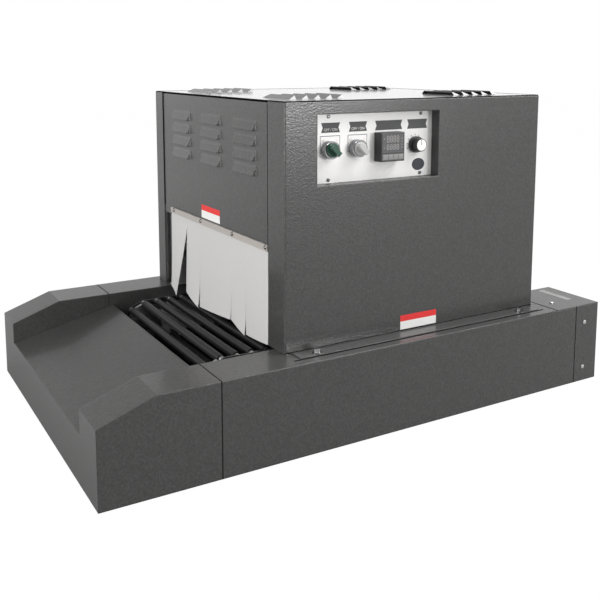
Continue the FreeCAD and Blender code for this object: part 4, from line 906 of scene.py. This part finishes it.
@dataclass
class Trim:
    """Small screws, a bare plate and bare stickers on the casing."""

    screw_radius: float = 4.0 * MM
    bar_shares: tuple[float, ...] = (0.012, 0.309, 0.638, 0.96)
    bar_rise: float = 0.6
    bar_radius: float = 3.6 * MM
    cover_place: tuple[float, float] = (27.0 * MM, 40.0 * MM)
    cap_inset: float = 36.0 * MM
    cap_margins: tuple[float, float] = (28.0 * MM, 34.0 * MM)
    cap_sunk: float = 0.1 * MM
    plate_size: tuple[float, float] = (14.0 * MM, 74.0 * MM)
    plate_insets: tuple[float, float] = (28.0 * MM, 12.0 * MM)
    sticker_thick: float = 0.2 * MM
    white_height: float = 14.2 * MM
    red_height: float = 10.6 * MM
    end_span: tuple[float, float] = (-17.0 * MM, 64.0 * MM)
    end_rise: float = 2.5 * MM
    front_span: tuple[float, float] = (53.0 * MM, 131.0 * MM)
    front_rise: float = 4.0 * MM

    def build(self) -> None:
        """Add the screws of bars, drive cover and end cap, the bare plate and two bare stickers."""
        self.bar_screws()
        self.cover_screws()
        self.cover_plate()
        self.end_sticker()
        self.front_sticker()

    def bar_screws(self) -> None:
        """Four screws along each clamping bar."""
        low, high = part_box("curtain_bars")
        z = low.z + (high.z - low.z) * self.bar_rise
        mesh = bmesh.new()
        for x, way in ((low.x, -1), (high.x, 1)):
            for share in self.bar_shares:
                at = Vector((x, low.y + (high.y - low.y) * share, z))
                screw_mesh(at, Vector((way, 0, 0)), self.bar_radius, mesh)
        add_mesh("bar_screws", mesh, BLACKED, ROOT)

    def cover_screws(self) -> None:
        """Screws of the drive cover and of the end cap's operator side."""
        low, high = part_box("drive_cover")
        mesh = bmesh.new()
        at = Vector((low.x + self.cover_place[0], low.y + self.cover_place[1], high.z))
        screw_mesh(at, Vector((0, 0, 1)), self.screw_radius, mesh)
        cap_low, cap_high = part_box("outfeed_end_cap")
        x, y = cap_high.x - self.cap_inset, cap_low.y + self.cap_sunk
        for z in (cap_low.z + self.cap_margins[0], cap_high.z - self.cap_margins[1]):
            screw_mesh(Vector((x, y, z)), Vector((0, -1, 0)), self.screw_radius, mesh)
        add_mesh("cover_screws", mesh, STEEL, ROOT)

    def cover_plate(self) -> None:
        """Bare pale plate on the drive cover."""
        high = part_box("drive_cover")[1]
        x, y, z = high.x - self.plate_insets[0], high.y - self.plate_insets[1], high.z
        low = (x - self.plate_size[0], y - self.plate_size[1], z)
        add_mesh("cover_plate", box_mesh(low, (x, y, z + self.sticker_thick)), KEY_GREY, ROOT)

    def end_sticker(self) -> None:
        """Bare red and white sticker over the infeed curtain."""
        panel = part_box("hood_front_cover")[0].x + SHEET_SKIN
        y0, y1 = self.end_span
        z0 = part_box("curtain_bars")[1].z + self.end_rise
        x, z1 = panel - self.sticker_thick, z0 + self.white_height
        add_mesh("end_sticker_white", box_mesh((x, y0, z0), (panel, y1, z1)), WHITE, ROOT)
        add_mesh("end_sticker_red", box_mesh((x, y0, z1), (panel, y1, z1 + self.red_height)), RED, ROOT)

    def front_sticker(self) -> None:
        """Bare red and white sticker at the foot of the hood's front."""
        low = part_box("hood_front_cover")[0]
        wall = low.y + HOOD_FLANGE
        x0, x1 = self.front_span
        z0 = low.z + self.front_rise
        y, z1 = wall - self.sticker_thick, z0 + self.white_height
        add_mesh("front_sticker_white", box_mesh((x0, y, z0), (x1, wall, z1)), WHITE, ROOT)
        add_mesh("front_sticker_red", box_mesh((x0, y, z1), (x1, wall, z1 + self.red_height)), RED, ROOT)


@dataclass
class Joints:
    """Near-black lines where the sheets of the casing meet: painted shade for their gaps and steps."""

    width: float = 1.6 * MM
    lap_width: float = 2.2 * MM
    foot_width: float = 4.0 * MM
    cheek: float = 81.5 * MM
    proud: float = 0.15 * MM
    sunk: float = 0.5 * MM
    lid_rise: float = 0.3 * MM

    def build(self) -> None:
        """Add the painted shade lines of the base, of the hood's laps and foot, and of the lid."""
        self.base()
        self.laps()
        self.foot()
        self.lid()

    def base(self) -> None:
        """Painted shade lines between the infeed casing, the side covers and the end cap, and beside the
        drive cover.
        """
        mesh = bmesh.new()
        casing, cap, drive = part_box("infeed_casing"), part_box("outfeed_end_cap"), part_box("drive_cover")
        for node, way in (("front_side_cover", -1), ("rear_side_cover", 1)):
            low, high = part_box(node)
            wall = low.y if way < 0 else high.y
            y0, y1 = sorted((wall + way * self.proud, wall - way * self.sunk))
            for seam in ((casing[1].x + low.x) / 2, (high.x + cap[0].x) / 2):
                box_mesh((seam - self.width / 2, y0, low.z), (seam + self.width / 2, y1, high.z), mesh)
            x0, x1 = casing[1].x - self.width / 2, casing[1].x + self.width / 2
            y0, y1 = sorted((wall, wall - way * self.cheek))
            box_mesh((x0, y0, high.z - self.sunk), (x1, y1, high.z + self.proud), mesh)
        deck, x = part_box("front_side_cover")[1].z, drive[0].x
        start = (x - self.lap_width, drive[0].y, deck - self.sunk)
        box_mesh(start, (x, drive[1].y, deck + self.proud), mesh)
        add_mesh("base_seam_shade", mesh, SEAM_SHADE, ROOT)

    def laps(self) -> None:
        """Painted shade lines beside the covers' returns, at both ends of the hood."""
        mesh = bmesh.new()
        front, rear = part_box("hood_front_cover"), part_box("hood_rear_cover")
        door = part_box("curtain_bars")[1].z
        for x, way in ((front[0].x, -1), (front[1].x, 1)):
            x0, x1 = sorted((x, x - way * SHEET_SKIN))
            for y in (front[1].y, rear[0].y - self.lap_width):
                box_mesh((x0, y, door), (x1, y + self.lap_width, front[1].z - SHEET_SKIN), mesh)
        add_mesh("lap_seam_shade", mesh, SEAM_SHADE, ROOT)

    def foot(self) -> None:
        """Painted shade lines along the bend and the edge of the hood's front flange."""
        mesh = bmesh.new()
        low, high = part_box("hood_front_cover")
        wall, deck = low.y + HOOD_FLANGE, low.z + SHEET_SKIN
        box_mesh((low.x, wall - self.proud, deck), (high.x, wall, deck + self.width), mesh)
        box_mesh((low.x, low.y - self.foot_width, low.z), (high.x, low.y, low.z + self.proud), mesh)
        add_mesh("foot_seam_shade", mesh, SEAM_SHADE, ROOT)

    def lid(self) -> None:
        """Painted shade line round the lid's edge."""
        low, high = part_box("top_cover")
        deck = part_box("hood_front_cover")[1].z
        top = deck + SHEET_SKIN + self.lid_rise
        edge = self.width
        mesh = bmesh.new()
        for x in (low.x - edge, high.x):
            box_mesh((x, low.y - edge, deck), (x + edge, high.y + edge, top), mesh)
        for y in (low.y - edge, high.y):
            box_mesh((low.x, y, deck), (high.x, y + edge, top), mesh)
        add_mesh("lid_seam_shade", mesh, SEAM_SHADE, ROOT)


# Stage


@dataclass(frozen=True)
class Lamp:
    """A square lamp, in metres and watts, and whether it gives diffuse and glossy light."""

    name: str
    place: Point
    size: float
    power: float
    diffuse: bool = True
    glossy: bool = True

    def build(self, aim: Point) -> None:
        """Add the lamp.

        Args:
            aim: Point that it is turned to.
        """
        lamp = bpy.data.lights.new(self.name, "AREA")
        lamp.size = self.size
        lamp.energy = self.power
        holder = bpy.data.objects.new(self.name, lamp)
        holder.location = self.place
        holder.rotation_mode = "QUATERNION"
        holder.rotation_quaternion = (Vector(aim) - Vector(self.place)).to_track_quat("-Z", "Y")
        holder.visible_glossy = self.glossy
        holder.visible_diffuse = self.diffuse
        bpy.context.scene.collection.objects.link(holder)


# Key lamp at the infeed end, fill and glint lamps on the operator's side, and one overhead
KEY_LAMP = Lamp("key", (-2.8, -0.4, 0.9), 1.6, 64.0)
FILL_LAMP = Lamp("fill", (0.3, -2.7, 1.9), 2.0, 28.0, glossy=False)
SPARK_LAMP = Lamp("spark", (1.12, -2.6, 0.74), 0.2, 28.0, diffuse=False)
TOP_LAMP = Lamp("top", (1.2, -0.8, 2.2), 1.8, 84.0)


@dataclass
class Studio:
    """Floor, light and camera.

    The camera's place is in millimetres, its angles are in degrees, and other lengths are in metres.
    What reflections see is given as a range of distance on the floor or of height in the sky, and the
    floor's share of glow or the sky's strength at each end of it. Near the machine the floor glows less in
    reflections: painted shade for its shadow on the floor.
    """

    place: Point = (-788.7, -1348.9, 612.0)
    azimuth: float = -30.176
    elevation: float = 7.702
    lens: float = 49.517
    sensor: float = 36.0
    shift: tuple[float, float] = (0.0068, -0.21)
    aim: Point = (0.0, 0.0, 0.25)
    floor_half: float = 14.0
    floor_finish: Finish = Finish("pale_floor", (0.28, 0.28, 0.28), 0.8)
    floor_glow: float = 1.06
    floor_seen: float = 0.93
    floor_mirror_shade: tuple[float, float, float, float] = (0.7, 2.6, 0.12, 0.6)
    sky_light: float = 0.36
    sky_mirrored: tuple[float, float, float, float] = (0.06, 0.45, 1.25, 0.42)

    def build(self) -> None:
        """Set the whole stage."""
        self.floor()
        self.world()
        for lamp in (KEY_LAMP, FILL_LAMP, SPARK_LAMP, TOP_LAMP):
            lamp.build(self.aim)
        self.camera()
        bpy.context.scene.view_settings.view_transform = "Standard"

    def floor(self) -> None:
        """Plain pale floor that reads as white to the camera and keeps a faint shadow, with painted shade
        near the machine in reflections.
        """
        mesh = bmesh.new()
        bmesh.ops.create_grid(mesh, x_segments=1, y_segments=1, size=self.floor_half)
        piece = add_mesh("floor", mesh, self.floor_finish, "")
        made = piece.data.materials[0]
        nodes, links = made.node_tree.nodes, made.node_tree.links
        glow = nodes.new("ShaderNodeEmission")
        glow.inputs["Strength"].default_value = self.floor_glow
        path = nodes.new("ShaderNodeLightPath")
        place = nodes.new("ShaderNodeTexCoord")
        # Painted shade: reflections see less glow on the floor near the machine, standing in for its shadow
        # there
        reach = nodes.new("ShaderNodeVectorMath")
        reach.operation = "LENGTH"
        away = nodes.new("ShaderNodeMapRange")
        for label, value in zip(RANGE_SOCKETS, self.floor_mirror_shade):
            away.inputs[label].default_value = value
        mirrored, seen, share = (nodes.new("ShaderNodeMath") for _ in range(3))
        mirrored.operation = seen.operation = "MULTIPLY"
        share.operation = "MAXIMUM"
        seen.inputs[1].default_value = self.floor_seen
        links.new(place.outputs["Object"], reach.inputs[0])
        links.new(reach.outputs["Value"], away.inputs["Value"])
        links.new(away.outputs["Result"], mirrored.inputs[0])
        links.new(path.outputs["Is Glossy Ray"], mirrored.inputs[1])
        links.new(path.outputs["Is Camera Ray"], seen.inputs[0])
        links.new(mirrored.outputs[0], share.inputs[0])
        links.new(seen.outputs[0], share.inputs[1])
        mix = nodes.new("ShaderNodeMixShader")
        links.new(share.outputs[0], mix.inputs["Fac"])
        links.new(nodes["Principled BSDF"].outputs[0], mix.inputs[1])
        links.new(glow.outputs[0], mix.inputs[2])
        links.new(mix.outputs[0], nodes["Material Output"].inputs["Surface"])

    def world(self) -> None:
        """White surroundings for the camera, softer for light, and dimmer overhead for reflections."""
        world = bpy.data.worlds.new("studio")
        bpy.context.scene.world = world
        world.use_nodes = True
        nodes, links = world.node_tree.nodes, world.node_tree.links
        back = nodes["Background"]
        back.inputs["Color"].default_value = (1.0, 1.0, 1.0, 1.0)
        path = nodes.new("ShaderNodeLightPath")
        place = nodes.new("ShaderNodeTexCoord")
        axes = nodes.new("ShaderNodeSeparateXYZ")
        fade = nodes.new("ShaderNodeMapRange")
        for label, value in zip(RANGE_SOCKETS, self.sky_mirrored):
            fade.inputs[label].default_value = value
        mirrored = nodes.new("ShaderNodeMix")
        mirrored.inputs["A"].default_value = self.sky_light
        seen = nodes.new("ShaderNodeMath")
        seen.operation = "MAXIMUM"
        links.new(place.outputs["Generated"], axes.inputs[0])
        links.new(axes.outputs["Z"], fade.inputs["Value"])
        links.new(path.outputs["Is Glossy Ray"], mirrored.inputs["Factor"])
        links.new(fade.outputs["Result"], mirrored.inputs["B"])
        links.new(mirrored.outputs["Result"], seen.inputs[0])
        links.new(path.outputs["Is Camera Ray"], seen.inputs[1])
        links.new(seen.outputs[0], back.inputs["Strength"])

    def camera(self) -> None:
        """The photo's viewpoint."""
        turn, rise = math.radians(self.azimuth), math.radians(self.elevation)
        back = Vector((math.sin(turn) * math.cos(rise), -math.cos(turn) * math.cos(rise), math.sin(rise)))
        data = bpy.data.cameras.new("photo_view")
        data.lens = self.lens
        data.sensor_width = self.sensor
        data.shift_x, data.shift_y = self.shift
        holder = bpy.data.objects.new("photo_view", data)
        holder.location = Vector(self.place) * MM
        holder.rotation_mode = "QUATERNION"
        holder.rotation_quaternion = (-back).to_track_quat("-Z", "Y")
        bpy.context.scene.collection.objects.link(holder)
        bpy.context.scene.camera = holder


def paint_frame() -> None:
    """Give every CAD node its finish."""
    for finish, names in NODE_FINISHES.items():
        for name in names:
            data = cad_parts[name].data
            data.materials.clear()
            data.materials.append(finish.material())


def main() -> None:
    """Dress the frame and set the stage."""
    paint_frame()
    Conveyor().build()
    Curtain(End.INFEED, INFEED_HANGS).build()
    Curtain(End.OUTFEED, OUTFEED_HANGS).build()
    Panel().build()
    Trim().build()
    Joints().build()
    Studio().build()


if __name__ == "__main__":
    main()
